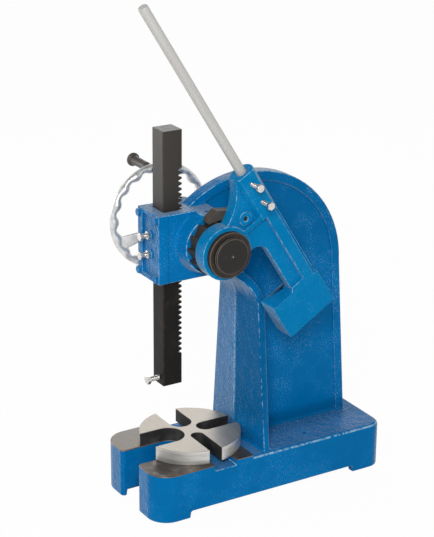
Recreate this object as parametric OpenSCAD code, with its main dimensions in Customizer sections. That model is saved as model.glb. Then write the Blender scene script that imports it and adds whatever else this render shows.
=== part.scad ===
// Rack arbor press with a ratchet lever, a counterweight and a handwheel.
// Millimetres. +X is the operator's right, +Y is the back and +Z is up.
// The origin lies on the sole, midway between the two bench bolt holes.

/* [Ram and rack] */
// Side of the square ram
ram_w = 48; // [44:1:52]
// Length of the ram
ram_l = 595; // [560:5:640]
// Height of the ram's lower end above the sole, at rest
ram_z = 287; // [270:1:300]
// Chamfer along the ram's edges
ram_chamfer = 1.6; // [0.8:0.1:2.4]
// Radius of the tool socket in the ram's lower end
socket_bore_r = 12.5; // [10:0.5:14]
// Depth of the tool socket
socket_bore_l = 45; // [35:1:60]
// Height of the set screw above the ram's lower end
set_screw_rise = 14; // [12:0.5:18]
// Module of the rack and of the pinion
rack_module = 4; // [3.8:0.1:4.2]
// Rack gaps below the pinion, at rest
rack_gaps_below = 21; // [18:1:21]
// Rack gaps above the pinion, at rest
rack_gaps_above = 13; // [11:1:14]
// Play between the ram and its way, on each side
ram_play = 0.15; // [0.1:0.05:0.3]

/* [Base] */
// Width of the base
base_w = 262; // [250:1:280]
// Front edge of the base, forward of the ram axis
base_front = 100; // [92:1:110]
// Rear edge of the base, behind the ram axis
base_rear = 520; // [505:1:540]
// Height of the painted top of the base
base_h = 111; // [104:1:116]
// Rise of the machined seats above the painted top
seat_rise = 6; // [4:0.5:8]
// Radius of the front corners
base_front_r = 50; // [35:1:60]
// Radius of the rear corners
base_rear_r = 36; // [25:1:45]
// Rounding of the painted top edge
base_edge_r = 9; // [5:1:12]
// Wall of the hollow underside
base_wall = 18; // [14:1:22]
// Thickness of the top over the hollow underside
base_top_t = 26; // [20:1:32]
// Width of the slot between the prongs
slot_w = 75; // [68:1:80]
// Closed end of the slot, behind the ram axis
slot_end = 42; // [39:1:46]
// Rounding of the prongs' inner corners
prong_corner_r = 9; // [5:1:12]
// Rear edge of the front seats, behind the ram axis
front_seat_end = 49; // [47:0.5:54]
// Front edge of the rear seat, behind the ram axis
rear_seat_start = 107; // [100:1:115]
// Rear edge of the rear seat, behind the ram axis
rear_seat_end = 152; // [145:1:160]
// Depth of the groove between the seats
groove_d = 14; // [10:1:18]
// Height of the relief between the feet
relief_h = 18; // [14:1:22]
// Rear end of the front feet, forward of the ram axis
front_foot_end = 14; // [8:1:20]
// Width of the relief inside each front foot, along the slot
prong_relief_w = 24; // [16:1:34]
// Thickness of a front foot at the prong's nose
foot_nose_t = 13; // [10:1:20]
// Front end of the rear feet, behind the ram axis
rear_foot_start = 433; // [420:1:445]
// Rounding at the ends of the relief
relief_r = 7; // [4:1:10]
// Distance from the ram axis back to the bench bolt holes
bolt_setback = 324; // [300:1:345]
// Spacing of the bench bolt holes
bolt_spacing = 164; // [150:1:172]
// Radius of a bench bolt hole
bolt_hole_r = 5.5; // [4.5:0.5:6.5]

/* [Column] */
// Front face of the column at its edges, behind the ram axis
column_y = 190; // [185:1:200]
// How far the middle of the column's front stands forward of its edges
column_ridge = 11; // [6:1:14]
// Thickness of the front flange
flange_t = 15; // [12:1:22]
// Width of the front flange at the base
flange_foot_w = 234; // [220:1:244]
// Width of the front flange at its shoulder
flange_shoulder_w = 168; // [160:1:174]
// Rounding of the shoulder, seen from the front
shoulder_r = 75; // [70:1:80]
// Radius of the throat under the head
throat_r = 83; // [75:1:90]
// Thickness of the web
web_t = 20; // [16:1:24]
// Radius of the arch over the column
arch_r = 253; // [248:1:258]
// Centre of the arch, behind the ram axis
arch_y = 203; // [198:1:208]
// Centre of the arch above the sole
arch_z = 503; // [498:1:508]
// Rear edge of the column at the base, behind the ram axis
column_rear = 484; // [475:1:490]
// Width of the raised rim along the arch and the rear edge
rim_w = 22; // [16:1:28]
// Thickness of the raised rim
rim_t = 32; // [28:1:38]

/* [Head] */
// Width of the head
head_w = 94; // [90:1:100]
// Height of the head's underside
head_z = 543; // [535:1:550]
// Height of the head
head_h = 158; // [152:1:165]
// Rear end of the head block, behind the ram axis
head_rear = 126; // [118:1:135]
// Height of the pinion axis above the head's underside
pinion_rise = 85; // [80:1:88]
// Radius of the bearing boss where it leaves the head
boss_root_r = 72; // [69:1:74]
// Radius of the bearing boss at its end face
boss_end_r = 65.5; // [62:0.5:68]
// Reach of a bearing boss beside the head
boss_l = 35; // [30:1:40]
// Width of the oiling flat on the boss
oil_flat_w = 50; // [40:1:60]
// Radius of the oil hole
oil_hole_r = 4; // [2.5:0.5:5]
// Thickness of the head cap
cap_t = 24; // [22:1:28]
// Depth of the recess in the cap's front
cap_recess = 7; // [4:0.5:9]
// Width of the raised borders beside the recess
cap_border = 19; // [17:0.5:20]
// Height of the raised borders above and below the recess
cap_ledge = 9; // [6:0.5:12]
// Distance of the cap bolts from the sides
cap_bolt_x = 9.5; // [9:0.5:11]
// Distance of the cap bolts from the top and the bottom
cap_bolt_z = 12; // [10:0.5:14]
// Width of the gib strip
gib_w = 34; // [30:1:40]
// Thickness of the gib strip
gib_t = 8; // [6:0.5:9]
// Length of the gib strip
gib_l = 140; // [125:1:145]
// Spacing of the gib screws
gib_screw_gap = 44; // [38:1:50]
// Radius of the screw bosses on the cap
gib_boss_r = 11; // [10:0.5:13]

/* [Shaft and ratchet] */
// Teeth of the pinion
pinion_teeth = 23; // [22:1:23]
// Play between the shaft and what turns on it or carries it
run_play = 0.05; // [0.03:0.01:0.08]
// Radius of the shaft in the ratchet, the lever hub and the collar
shaft_r = 42; // [40:0.5:44]
// Radius of the shaft in the handwheel
stub_r = 18; // [16:0.5:20]
// Teeth of the ratchet wheel
ratchet_teeth = 13; // [12:1:14]
// Radius over the ratchet teeth
ratchet_r = 63.5; // [62:0.5:65]
// Depth of the ratchet teeth
ratchet_d = 9; // [7:0.5:10]
// Thickness of the ratchet wheel
ratchet_t = 28; // [25:1:31]
// Radius of the collar
collar_r = 52; // [50:0.5:56]
// Thickness of the collar
collar_t = 13; // [11:0.5:16]
// Reach of the shaft's end past the collar
shaft_nose = 8; // [5:0.5:12]

/* [Lever] */
// Lean of the lever bar forward of upright, in degrees
lever_lean = 32; // [28:1:36]
// Radius of the lever hub
hub_r = 61; // [58:0.5:64]
// Length of the lever hub
hub_l = 35; // [33:1:38]
// Distance from the hub axis across to the bar axis
bar_offset = 128; // [124:1:132]
// Radius of the lever bar
bar_r = 11; // [10:0.5:12]
// Length of the lever bar
bar_l = 548; // [500:1:600]
// Outer radius of the bar socket
socket_r = 28; // [26:0.5:30]
// Height of the socket's mouth above the hub axis, along the bar
socket_top = 123; // [116:1:130]
// Depth of the bar in its socket
socket_depth = 98; // [90:1:105]
// Thickness of the lever's thin plate
plate_t = 25; // [20:1:28]
// Width of the raised border along the bar side
border_w = 27; // [22:1:32]
// Width of the counterweight
weight_w = 135; // [125:1:140]
// Height of the counterweight
weight_h = 91; // [85:1:100]
// Thickness of the counterweight
weight_t = 56; // [50:1:57]
// Distance from the hub axis down to the counterweight
weight_drop = 196; // [190:1:205]
// Distance from the hub axis across to the edge of the lever's notch
notch_w = 85; // [80:1:90]
// Radius of the hollow in the lever's left edge
lever_neck_r = 124; // [110:1:140]
// Width of the raised rib along that edge
neck_rib_w = 8; // [6:0.5:11]
// Rise of the rib above the lever's thin plate
neck_rib_h = 4; // [2:0.5:6]
// Top of the lever's notch below the hub axis
notch_top = 42; // [38:1:46]
// Distance from the hub axis across to the pawl's pivot
pawl_across = 78; // [76:0.5:80]
// Distance from the hub axis up to the pawl's pivot, along the bar
pawl_up = 34; // [32:0.5:36]
// Radius of the pawl's pivot boss
pawl_boss_r = 16; // [14:0.5:18]
// Radius of the pawl pin
pawl_pin_r = 5.5; // [5:0.5:6.5]
// Length of the pawl from its pivot to its nose
pawl_l = 74; // [71:0.5:76]
// Thickness of the pawl
pawl_t = 25; // [20:1:26]

/* [Handwheel] */
// Radius over the handwheel's rim
wheel_r = 126; // [115:1:135]
// Radius of the rim's round section
wheel_rim_r = 11; // [9:0.5:12]
// Distance from the hub's inner face out to the middle of the rim
wheel_dish = 74; // [66:1:80]
// Radius of the handwheel hub
wheel_hub_r = 32; // [29:0.5:36]
// Length of the handwheel hub
wheel_hub_l = 42; // [38:1:46]
// Finger scallops round the rim
scallops = 18; // [16:1:20]
// Depth of a scallop
scallop_d = 6; // [3:0.5:7]
// Length of the revolving grip
grip_l = 75; // [65:1:85]
// Radius of the grip's body
grip_r = 10.5; // [9:0.5:11]
// Radius of the grip's end flange
grip_end_r = 16; // [14:0.5:18]

/* [Arbor plate] */
// Radius of the arbor plate
arbor_r = 118; // [112:1:122]
// Thickness of the arbor plate
arbor_t = 33; // [28:1:36]
// Centre of the arbor plate, behind the ram axis
arbor_y = 59; // [57:0.5:60]
// Solid middle left between opposite slots, as radius
arbor_core_r = 20; // [18:0.5:24]
// Width of the front slot
arbor_front_w = 75; // [70:1:78]
// Width of the left slot
arbor_left_w = 55; // [50:1:58]
// Width of the rear slot
arbor_rear_w = 41; // [36:1:45]
// Width of the right slot
arbor_right_w = 32; // [28:1:36]

/* [Fasteners] */
// Radius of a ten millimetre screw
m10_r = 5; // [4.5:0.1:5.5]
// Width across the flats of a ten millimetre head
m10_flats = 16; // [15:0.5:17]
// Height of a ten millimetre head
m10_head = 7; // [6:0.5:8]
// Radius of the ram's set screw
m12_r = 6; // [5.5:0.1:6.5]
// Width across the flats of the ram's set screw
m12_flats = 19; // [18:0.5:20]
// Height of the ram's set screw head
m12_head = 8; // [7:0.5:9]
// Reach of the ram's set screw in front of the ram
m12_reach = 31; // [26:1:34]

/* [Hidden] */
$fn = 72;
hull_fn = 32;
// Overrun of every cut past the face that it opens
over = 2;
// Small seating play between still pieces
seat_play = 0.05;
// Axial gap between turning faces
face_gap = 0.5;
paint = [0, 0.35, 0.62];
lever_paint = [0, 0.45, 0.72];
black_oxide = [0.13, 0.12, 0.11];
bright = [0.8, 0.8, 0.8];
machined = [0.56, 0.55, 0.52];

seat_z = base_h + seat_rise;
groove_z = seat_z - groove_d;
head_top = head_z + head_h;
way_half = ram_w / 2 + ram_play;
cap_face_y = -ram_w / 2;
cap_front_y = cap_face_y - cap_t;

// Rack and pinion
pressure_angle = 20;
tooth_pitch = PI * rack_module;
pitch_r = rack_module * pinion_teeth / 2;
dedendum_share = 1.25;
dedendum = rack_module * dedendum_share;
tooth_play_share = 0.03;
tooth_play = rack_module * tooth_play_share;
pinion_y = ram_w / 2 - rack_module + pitch_r;
pinion_z = head_z + pinion_rise;
journal_r = pitch_r + rack_module;
journal_in = way_half + ram_play;
base_circle_r = pitch_r * cos(pressure_angle);
pinion_root_r = pitch_r - dedendum;
pinion_tip_r = journal_r - tooth_play;
flank_shares = [0, 0.25, 0.5, 0.75, 1];
flank_radii = [for (s = flank_shares) base_circle_r + s * (pinion_tip_r - base_circle_r)];
tooth_radii = concat([pinion_root_r], flank_radii);
shaft_shoulder = head_w / 2 + boss_l + face_gap;

// One ratchet tooth: shares of the tooth angle and of the tooth depth, from foot to land
ratchet_shares = [[0, 1], [0, 0], [0.16, 0]];
// A driving face, from +Y towards +Z
ratchet_angle = 120;

// Stations along the shaft, to the right
ratchet_x = shaft_shoulder;
hub_x = ratchet_x + ratchet_t + face_gap;
hub_face_x = hub_x + hub_l;
collar_x = hub_face_x + face_gap;
shaft_end_x = collar_x + collar_t + shaft_nose;
bar_x = hub_face_x - hub_l / 2;
shaft_end_chamfer = 3;
centre_mark_r = 3;

// Stations along the shaft, to the left
wheel_hub_x = -shaft_shoulder;
washer_t = 3.5;
washer_r = 24;
thread_r = 12;
nut_t = 15;
nut_flats = 36;
nut_x = wheel_hub_x - wheel_hub_l - washer_t;
stub_end_x = nut_x - nut_t - washer_t;
wheel_rim_x = wheel_hub_x - wheel_dish;
wheel_rim_mid_r = wheel_r - wheel_rim_r;
spoke_angles = [88, 208, 328];
spoke_sweep = 17;
spoke_t = 11;
scallop_r = 20;
handle_angle = 100;
grip_end_t = 7;
spindle_r = 5;
spindle_head_r = 7.5;
spindle_head_t = 3;

// Keys
ratchet_key_w = 12;
ratchet_key_h = 9;
wheel_key_w = 10;
wheel_key_h = 8;

// Screws
collar_screw_r = 4;
collar_screw_l = 9;
hex_socket_share = 0.5;
cap_tap_l = 24;
tap_spare = 2;
cap_bolt_l = cap_t + cap_tap_l - tap_spare;
gib_screw_tail = 12;
gib_nut_t = 6;
gib_boss_drop = 2;
gib_boss_y = cap_front_y + gib_boss_drop;
gib_screw_z = pinion_z - rack_module;
clamp_reach = 28;
clamp_inset = 28;
clamp_gap = 52;
clamp_places = [socket_top - clamp_inset, socket_top - clamp_inset - clamp_gap];

// Bench bolt bosses and ribs under the base
bolt_boss_r = 17;
rib_t = 16;
cross_rib_y = column_y + flange_t / 2;
hollow_front = slot_end + base_wall;
hollow_rear = base_rear - base_wall;
hollow_z = base_h - base_top_t;
prong_relief_half = slot_w / 2 + prong_relief_w;

// Lever outline
neck_angle = 55;
neck_low = hub_r * [cos(neck_angle), sin(neck_angle)];
neck_high_share = 0.9;
neck_high = [bar_offset - socket_r * neck_high_share, socket_top];
neck_way = (neck_high - neck_low) / norm(neck_high - neck_low);
neck_back = sqrt(pow(lever_neck_r, 2) - pow(norm(neck_high - neck_low) / 2, 2));
neck_centre = (neck_low + neck_high) / 2 + neck_back * [-neck_way[1], neck_way[0]];
socket_proud = 3;
ridge_from_share = 0.8;
ridge_u = 5;
ridge_t = 11;
lip_t = 11;
lip_w = 14;
border_out = bar_offset + border_w * 2 / 3;
border_in = border_out - border_w;
weight_out = bar_offset + socket_r + face_gap * 2;
weight_in = weight_out - weight_w;
weight_x = hub_face_x - weight_t;
weight_chamfer = 2;
notch_top_r = 30;
notch_low_r = 16;
pawl_pivot = [pawl_across, pawl_up];
pawl_aim = 154.5;
pawl_boss_proud = 6;
pawl_boss_l = plate_t + pawl_boss_proud;
pawl_clear = 0.8;
pawl_x = ratchet_x + ratchet_t - pawl_t;
pawl_eye_r = 14.5;
pawl_shares = [[0, 1], [0.16, 1], [0.68, 1.6], [0.95, 0.75], [1, 0.3], [1, -0.6], [0, -1]];

// Places

// Moves children from the ram axis to the origin between the bench bolts
module at_ram() {
    translate([0, -bolt_setback, 0]) children();
}

// Moves children to the pinion axis
module at_pinion() {
    at_ram() translate([0, pinion_y, pinion_z]) children();
}

// Moves children to the lever's own frame: y across to the bar, z along the bar
module at_lever() {
    at_pinion() rotate([lever_lean, 0, 0]) children();
}

// Side-view outline (y, z) extruded along +X from x
module side_slab(x, l) {
    translate([x, 0, 0]) rotate([90, 0, 90]) linear_extrude(l) children();
}

// Front-view outline (x, z) extruded along +Y from y
module front_slab(y, l) {
    translate([0, y + l, 0]) rotate([90, 0, 0]) linear_extrude(l) children();
}

// Plan outline (x, y) extruded up from z
module plan_slab(z, l) {
    translate([0, 0, z]) linear_extrude(l) children();
}

// Round bar along +X from x
module rod_x(x, l, r) {
    translate([x, 0, 0]) rotate([0, 90, 0]) cylinder(h = l, r = r);
}

// Round bar along +Y from y
module rod_y(y, l, r) {
    translate([0, y, 0]) rotate([-90, 0, 0]) cylinder(h = l, r = r);
}

// Hexagonal prism standing on the origin
module hex_prism(flats, h) {
    cylinder(h = h, r = flats / sqrt(3), $fn = 6);
}

// Hexagon-headed bolt along +Z: its head stands on z = 0 and its shank goes down
module hex_bolt(r, flats, head, l) {
    hex_prism(flats, head);
    translate([0, 0, -l]) cylinder(h = l, r = r);
}

// What is cut from a square corner at the origin to round it
module corner_bite(r) {
    difference() {
        translate([-over, -over]) square(r + over);
        translate([r, r]) circle(r);
    }
}

// Rectangle between two corners
module box2(a, b) {
    translate(a) square(b - a);
}

// Box between two corners
module box3(a, b) {
    translate(a) cube(b - a);
}

// Frame casting

// Plan of the whole base, with rounded corners
module base_plan(inset = 0) {
    half = base_w / 2 - inset;
    difference() {
        box2([-half, -base_front], [half, base_rear - inset]);
        for (side = [-1, 1]) scale([side, 1]) {
            translate([-half, -base_front]) corner_bite(base_front_r);
            translate([-half, base_rear - inset]) scale([1, -1]) corner_bite(base_rear_r - inset);
        }
    }
}

// Plan of the slot between the prongs, with its rounded mouth and closed end
module slot_plan() {
    box2([-slot_w / 2, -base_front - over], [slot_w / 2, slot_end - slot_w / 2]);
    translate([0, slot_end - slot_w / 2]) circle(slot_w / 2);
    for (side = [-1, 1]) scale([side, 1])
        translate([slot_w / 2, -base_front]) corner_bite(prong_corner_r);
}

// Rear body of the base, its painted top edge rounded
module base_rear_body() {
    steps = [0, 30, 60, 90];
    hull() for (a = steps) {
        inset = base_edge_r * (1 - cos(a));
        plan_slab(0, base_h - base_edge_r + base_edge_r * sin(a)) intersection() {
            base_plan(inset, $fn = hull_fn);
            box2([-base_w, rear_seat_end], [base_w, base_rear + over]);
        }
    }
}

// Side view of the relief between the feet, from a front end
module relief_side(front) {
    difference() {
        box2([front, -over], [rear_foot_start, relief_h]);
        translate([front, relief_h]) scale([1, -1]) corner_bite(relief_r);
        translate([rear_foot_start, relief_h]) scale([-1, -1]) corner_bite(relief_r);
    }
}

// Cells of the hollow underside, left and right of the middle rib
module base_cells() {
    half = base_w / 2 - base_wall;
    for (side = [-1, 1]) scale([side, 1, 1]) {
        box3([rib_t / 2, hollow_front, -over], [half, cross_rib_y - rib_t / 2, hollow_z]);
        box3([rib_t / 2, cross_rib_y + rib_t / 2, -over], [half, hollow_rear, hollow_z]);
    }
}

// The base with its prongs, seats, groove and hollow underside
module base() {
    difference() {
        union() {
            base_rear_body();
            plan_slab(0, seat_z) intersection() {
                base_plan();
                box2([-base_w, -base_front - over], [base_w, rear_seat_end]);
            }
        }
        plan_slab(-over, seat_z + 2 * over) slot_plan();
        box3([-base_w, front_seat_end, groove_z], [base_w, rear_seat_start, seat_z + over]);
        difference() {
            union() {
                side_slab(-base_w, 2 * base_w) relief_side(-front_foot_end);
                side_slab(-prong_relief_half, 2 * prong_relief_half) relief_side(foot_nose_t - base_front);
                base_cells();
            }
            for (side = [-1, 1])
                translate([side * bolt_spacing / 2, bolt_setback, 0])
                    cylinder(h = base_h, r = bolt_boss_r);
        }
    }
}

// Section of the front flange, across X and out from the throat's centre
module flange_section() {
    half = flange_foot_w / 2;
    polygon([
        [throat_r - column_ridge, 0], [throat_r, half], [throat_r + flange_t, half],
        [throat_r + flange_t, -half], [throat_r, -half]
    ]);
}

// Front view of the flange: a tapering foot, round shoulders and a neck
module flange_front() {
    foot = flange_foot_w / 2;
    shoulder = flange_shoulder_w / 2;
    shoulder_z = head_z - throat_r;
    polygon([[-foot, groove_z], [foot, groove_z], [shoulder, shoulder_z], [-shoulder, shoulder_z]]);
    intersection() {
        union() {
            for (side = [-1, 1])
                translate([side * (shoulder - shoulder_r), shoulder_z]) circle(shoulder_r);
            box2([shoulder_r - shoulder, shoulder_z], [shoulder - shoulder_r, shoulder_z + shoulder_r]);
        }
        box2([-shoulder, shoulder_z], [shoulder, head_top]);
    }
    box2([-head_w / 2, shoulder_z], [head_w / 2, head_top]);
}

// The flange: straight up from the base, then bent forward under the head
module flange() {
    intersection() {
        translate([0, column_y - throat_r, 0]) {
            plan_slab(groove_z, head_z - throat_r - groove_z) rotate(90) flange_section();
            translate([0, 0, head_z - throat_r]) rotate([90, 0, 90])
                rotate_extrude(angle = 90) flange_section();
        }
        front_slab(0, base_rear) flange_front();
    }
}

// Side view of the column behind the throat, drawn in by an inset at the arch and the rear
module column_side(inset) {
    difference() {
        union() {
            translate([arch_y, arch_z]) circle(arch_r - inset);
            polygon([
                [arch_y, arch_z], [arch_y + arch_r - inset, arch_z],
                [column_rear - inset, groove_z], [column_y, groove_z]
            ]);
        }
        box2([cap_face_y - arch_r, -over], [column_y, head_z - throat_r]);
        box2([cap_face_y - arch_r, -over], [column_y - throat_r, head_z]);
        translate([column_y - throat_r, head_z - throat_r]) circle(throat_r);
        box2([cap_face_y - arch_r, head_z - over], [way_half, head_top + arch_r]);
    }
}

// The web, with its raised rim along the arch and the rear edge
module column() {
    flange();
    side_slab(-web_t / 2, web_t) column_side(0);
    side_slab(-rim_t / 2, rim_t) difference() {
        column_side(0);
        column_side(rim_w);
        box2([0, head_z - throat_r - over], [column_y - throat_r, head_top - over]);
    }
}

// The head: a block for the ram way, with a tapered bearing boss on each side
module head() {
    box3([-head_w / 2, cap_face_y, head_z], [head_w / 2, pinion_y, head_top]);
    box3([-head_w / 2, cap_face_y, head_z], [head_w / 2, head_rear, pinion_z]);
    translate([0, pinion_y, pinion_z]) {
        for (side = [-1, 1]) rotate([0, side * 90, 0]) {
            cylinder(h = head_w / 2, r = boss_root_r);
            translate([0, 0, head_w / 2]) cylinder(h = boss_l, r1 = boss_root_r, r2 = boss_end_r);
        }
        box3([0, -oil_flat_w / 2, 0], [head_w / 2 + boss_l - face_gap, oil_flat_w / 2, head_top - pinion_z]);
    }
}

// Places of the cap bolts, on the cap's front
module at_cap_bolts() {
    x = head_w / 2 - cap_bolt_x;
    for (side = [-1, 1], z = [head_z + cap_bolt_z, head_top - cap_bolt_z])
        translate([side * x, cap_front_y, z]) rotate([90, 0, 0]) children();
}

// Places of the gib screws, on the ram's middle plane
module at_gib_screws() {
    for (side = [-1, 1]) translate([0, 0, gib_screw_z + side * gib_screw_gap / 2]) children();
}

module frame_casting() {
    color(paint) at_ram() difference() {
        union() {
            base();
            column();
            head();
        }
        box3([-way_half, cap_face_y - over, head_z - over], [way_half, way_half, head_top + over]);
        translate([0, pinion_y, pinion_z]) {
            rod_x(-shaft_shoulder - over, 2 * (shaft_shoulder + over), journal_r + run_play);
            translate([shaft_shoulder * 3 / 4, 0, 0]) cylinder(h = head_h, r = oil_hole_r);
        }
        at_cap_bolts() translate([0, 0, -cap_t - cap_tap_l]) cylinder(h = cap_tap_l, r = m10_r + seat_play);
        for (side = [-1, 1])
            translate([side * bolt_spacing / 2, bolt_setback, -over])
                cylinder(h = base_h + 2 * over, r = bolt_hole_r);
    }
}

// Head cap and gib

module head_cap() {
    gib_half = gib_w / 2 + ram_play;
    boss_h = cap_recess - gib_boss_drop;
    color(paint) at_ram() difference() {
        union() {
            difference() {
                box3([-head_w / 2, cap_front_y, head_z], [head_w / 2, cap_face_y, head_top]);
                box3(
                    [cap_border - head_w / 2, cap_front_y - over, head_z + cap_ledge],
                    [head_w / 2 - cap_border, cap_front_y + cap_recess, head_top - cap_ledge]
                );
            }
            at_gib_screws() rod_y(gib_boss_y, boss_h + over, gib_boss_r);
        }
        translate([0, 0, gib_screw_z - gib_l / 2]) box3(
            [-gib_half, cap_face_y - gib_t - 2 * ram_play, -ram_play],
            [gib_half, cap_face_y + over, gib_l + ram_play]
        );
        at_gib_screws() rod_y(cap_front_y - over, cap_t + over, m10_r + seat_play);
        at_cap_bolts() translate([0, 0, -cap_t - over]) cylinder(h = cap_t + 2 * over, r = m10_r + seat_play);
    }
}

module cap_bolts() {
    color(paint) at_ram() at_cap_bolts()
        hex_bolt(m10_r, m10_flats, m10_head, cap_bolt_l);
}

module gib_strip() {
    color(black_oxide) at_ram() translate([0, 0, gib_screw_z - gib_l / 2])
        box3([-gib_w / 2, cap_face_y - gib_t - ram_play, 0], [gib_w / 2, cap_face_y - ram_play, gib_l]);
}

module gib_screws() {
    tip_y = cap_face_y - gib_t - ram_play;
    end_y = gib_boss_y - gib_screw_tail;
    color(bright) at_ram() at_gib_screws() difference() {
        rod_y(end_y, tip_y - end_y, m10_r);
        translate([0, end_y - over, 0]) rotate([-90, 0, 0])
            hex_prism(2 * m10_r * hex_socket_share, m10_r + over);
    }
}

module gib_lock_nuts() {
    color(bright) at_ram() at_gib_screws() difference() {
        translate([0, gib_boss_y, 0]) rotate([90, 0, 0]) hex_prism(m10_flats, gib_nut_t);
        rod_y(gib_boss_y - gib_nut_t - over, gib_nut_t + 2 * over, m10_r + seat_play);
    }
}

// Pinion shaft and ratchet

// Involute of an angle in degrees, as an angle
function involute(a) = tan(a) * 180 / PI - a;

// Half the angle of a pinion tooth at radius r
function tooth_half(r) =
    90 / pinion_teeth - tooth_play / pitch_r * 180 / PI + involute(pressure_angle)
    - (r > base_circle_r ? involute(acos(base_circle_r / r)) : 0);

// Outline of the pinion, with one tooth pointing at the rack
function pinion_points() = [
    for (k = [0 : pinion_teeth - 1], side = [-1, 1], i = [0 : len(tooth_radii) - 1])
        let (
            r = tooth_radii[side < 0 ? i : len(tooth_radii) - 1 - i],
            a = 180 + k * 360 / pinion_teeth + side * tooth_half(r)
        )
        r * [cos(a), sin(a)]
];

module pinion_shaft() {
    key_y = shaft_r - ratchet_key_h / 2;
    stub_key_z = stub_r - wheel_key_h / 2;
    color(black_oxide) at_pinion() difference() {
        union() {
            side_slab(-journal_in, 2 * journal_in) polygon(pinion_points());
            for (side = [-1, 1]) scale([side, 1, 1])
                rod_x(journal_in, shaft_shoulder - journal_in, journal_r);
            rod_x(shaft_shoulder, shaft_end_x - shaft_shoulder - shaft_end_chamfer, shaft_r);
            translate([shaft_end_x - shaft_end_chamfer, 0, 0]) rotate([0, 90, 0])
                cylinder(h = shaft_end_chamfer, r1 = shaft_r, r2 = shaft_r - shaft_end_chamfer);
            rod_x(wheel_hub_x - wheel_hub_l + face_gap, wheel_hub_l - face_gap, stub_r);
            rod_x(stub_end_x, wheel_hub_x - stub_end_x, thread_r);
        }
        translate([shaft_end_x + over / 2, 0, 0]) rotate([0, -90, 0])
            cylinder(h = centre_mark_r + over / 2, r1 = centre_mark_r + over / 2, r2 = 0);
        box3(
            [ratchet_x, key_y, -ratchet_key_w / 2],
            [ratchet_x + ratchet_t, shaft_r + over, ratchet_key_w / 2]
        );
        box3(
            [wheel_hub_x - wheel_hub_l, -wheel_key_w / 2, stub_key_z],
            [wheel_hub_x, wheel_key_w / 2, stub_r + over]
        );
    }
}

// Outline of the ratchet: radial driving faces and sloped backs
function ratchet_points() = [
    for (k = [0 : ratchet_teeth - 1], p = ratchet_shares)
        let (a = ratchet_angle + (k + p[0]) * 360 / ratchet_teeth, r = ratchet_r - p[1] * ratchet_d)
        r * [cos(a), sin(a)]
];

module ratchet_wheel() {
    color(black_oxide) at_pinion() difference() {
        side_slab(ratchet_x, ratchet_t) polygon(ratchet_points());
        rod_x(ratchet_x - over, ratchet_t + 2 * over, shaft_r + seat_play);
        box3(
            [ratchet_x - over, 0, -ratchet_key_w / 2],
            [ratchet_x + ratchet_t + over, shaft_r + ratchet_key_h / 2 + seat_play, ratchet_key_w / 2]
        );
    }
}

module ratchet_key() {
    color(bright) at_pinion() box3(
        [ratchet_x, shaft_r - ratchet_key_h / 2, -ratchet_key_w / 2],
        [ratchet_x + ratchet_t, shaft_r + ratchet_key_h / 2, ratchet_key_w / 2]
    );
}

module shaft_collar() {
    color(black_oxide) at_pinion() difference() {
        rod_x(collar_x, collar_t, collar_r);
        rod_x(collar_x - over, collar_t + 2 * over, shaft_r + seat_play);
        translate([collar_x + collar_t / 2, 0, 0]) cylinder(h = collar_r + over, r = collar_screw_r + seat_play);
    }
}

module collar_screw() {
    top = shaft_r + seat_play + collar_screw_l;
    color(black_oxide) at_pinion() translate([collar_x + collar_t / 2, 0, 0]) difference() {
        translate([0, 0, top - collar_screw_l]) cylinder(h = collar_screw_l, r = collar_screw_r);
        translate([0, 0, top - collar_screw_r])
            hex_prism(2 * collar_screw_r * hex_socket_share, collar_screw_r + over);
    }
}

// Lever

// Side view of the lever's notch, whose lower end runs on into the counterweight
module lever_notch() {
    low = -weight_drop - over;
    difference() {
        box2([-hub_r, low], [notch_w, -notch_top]);
        translate([notch_w, -notch_top]) scale([-1, -1]) corner_bite(notch_top_r);
        translate([notch_w, low]) scale([-1, 1]) corner_bite(notch_low_r);
    }
}

// Side view of the lever's thin plate: neck from the hub to the socket, strip to the weight
module lever_plate() {
    difference() {
        box2([weight_in + over, -weight_drop - 2 * over], [border_out, socket_top]);
        translate(neck_centre) circle(lever_neck_r);
        lever_notch();
    }
}

// Side view of the rib along the hollow of the lever's left edge
module neck_rib() {
    intersection() {
        lever_plate();
        translate(neck_centre) circle(lever_neck_r + neck_rib_w);
    }
}

// Side view of what stands up to the hub's face: the border, the ridge and the panel's foot
module lever_raised() {
    box2([border_in, -weight_drop - over], [border_out, socket_top - socket_depth]);
    box2([hub_r * ridge_from_share, ridge_u], [border_in + over, ridge_u + ridge_t]);
    intersection() {
        lever_plate();
        box2([weight_in, -weight_drop - 2 * over], [border_in + over, ridge_t - weight_drop]);
    }
}

// The bar socket, round at the back and flat on the clamp bolts' side
module bar_socket() {
    intersection() {
        translate([bar_x, bar_offset, ridge_u]) cylinder(h = socket_top - ridge_u, r = socket_r);
        box3(
            [bar_x - socket_r, bar_offset - socket_r, ridge_u],
            [hub_face_x + socket_proud, bar_offset + socket_r, socket_top]
        );
    }
}

// The counterweight, its long edges chamfered
module counterweight() {
    side_slab(weight_x, weight_t) difference() {
        box2([weight_in, -weight_drop - weight_h], [weight_out, -weight_drop]);
        for (w = [weight_in, weight_out], u = [-weight_drop - weight_h, -weight_drop])
            translate([w, u]) rotate(45) square(weight_chamfer * sqrt(2), center = true);
    }
}

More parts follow.
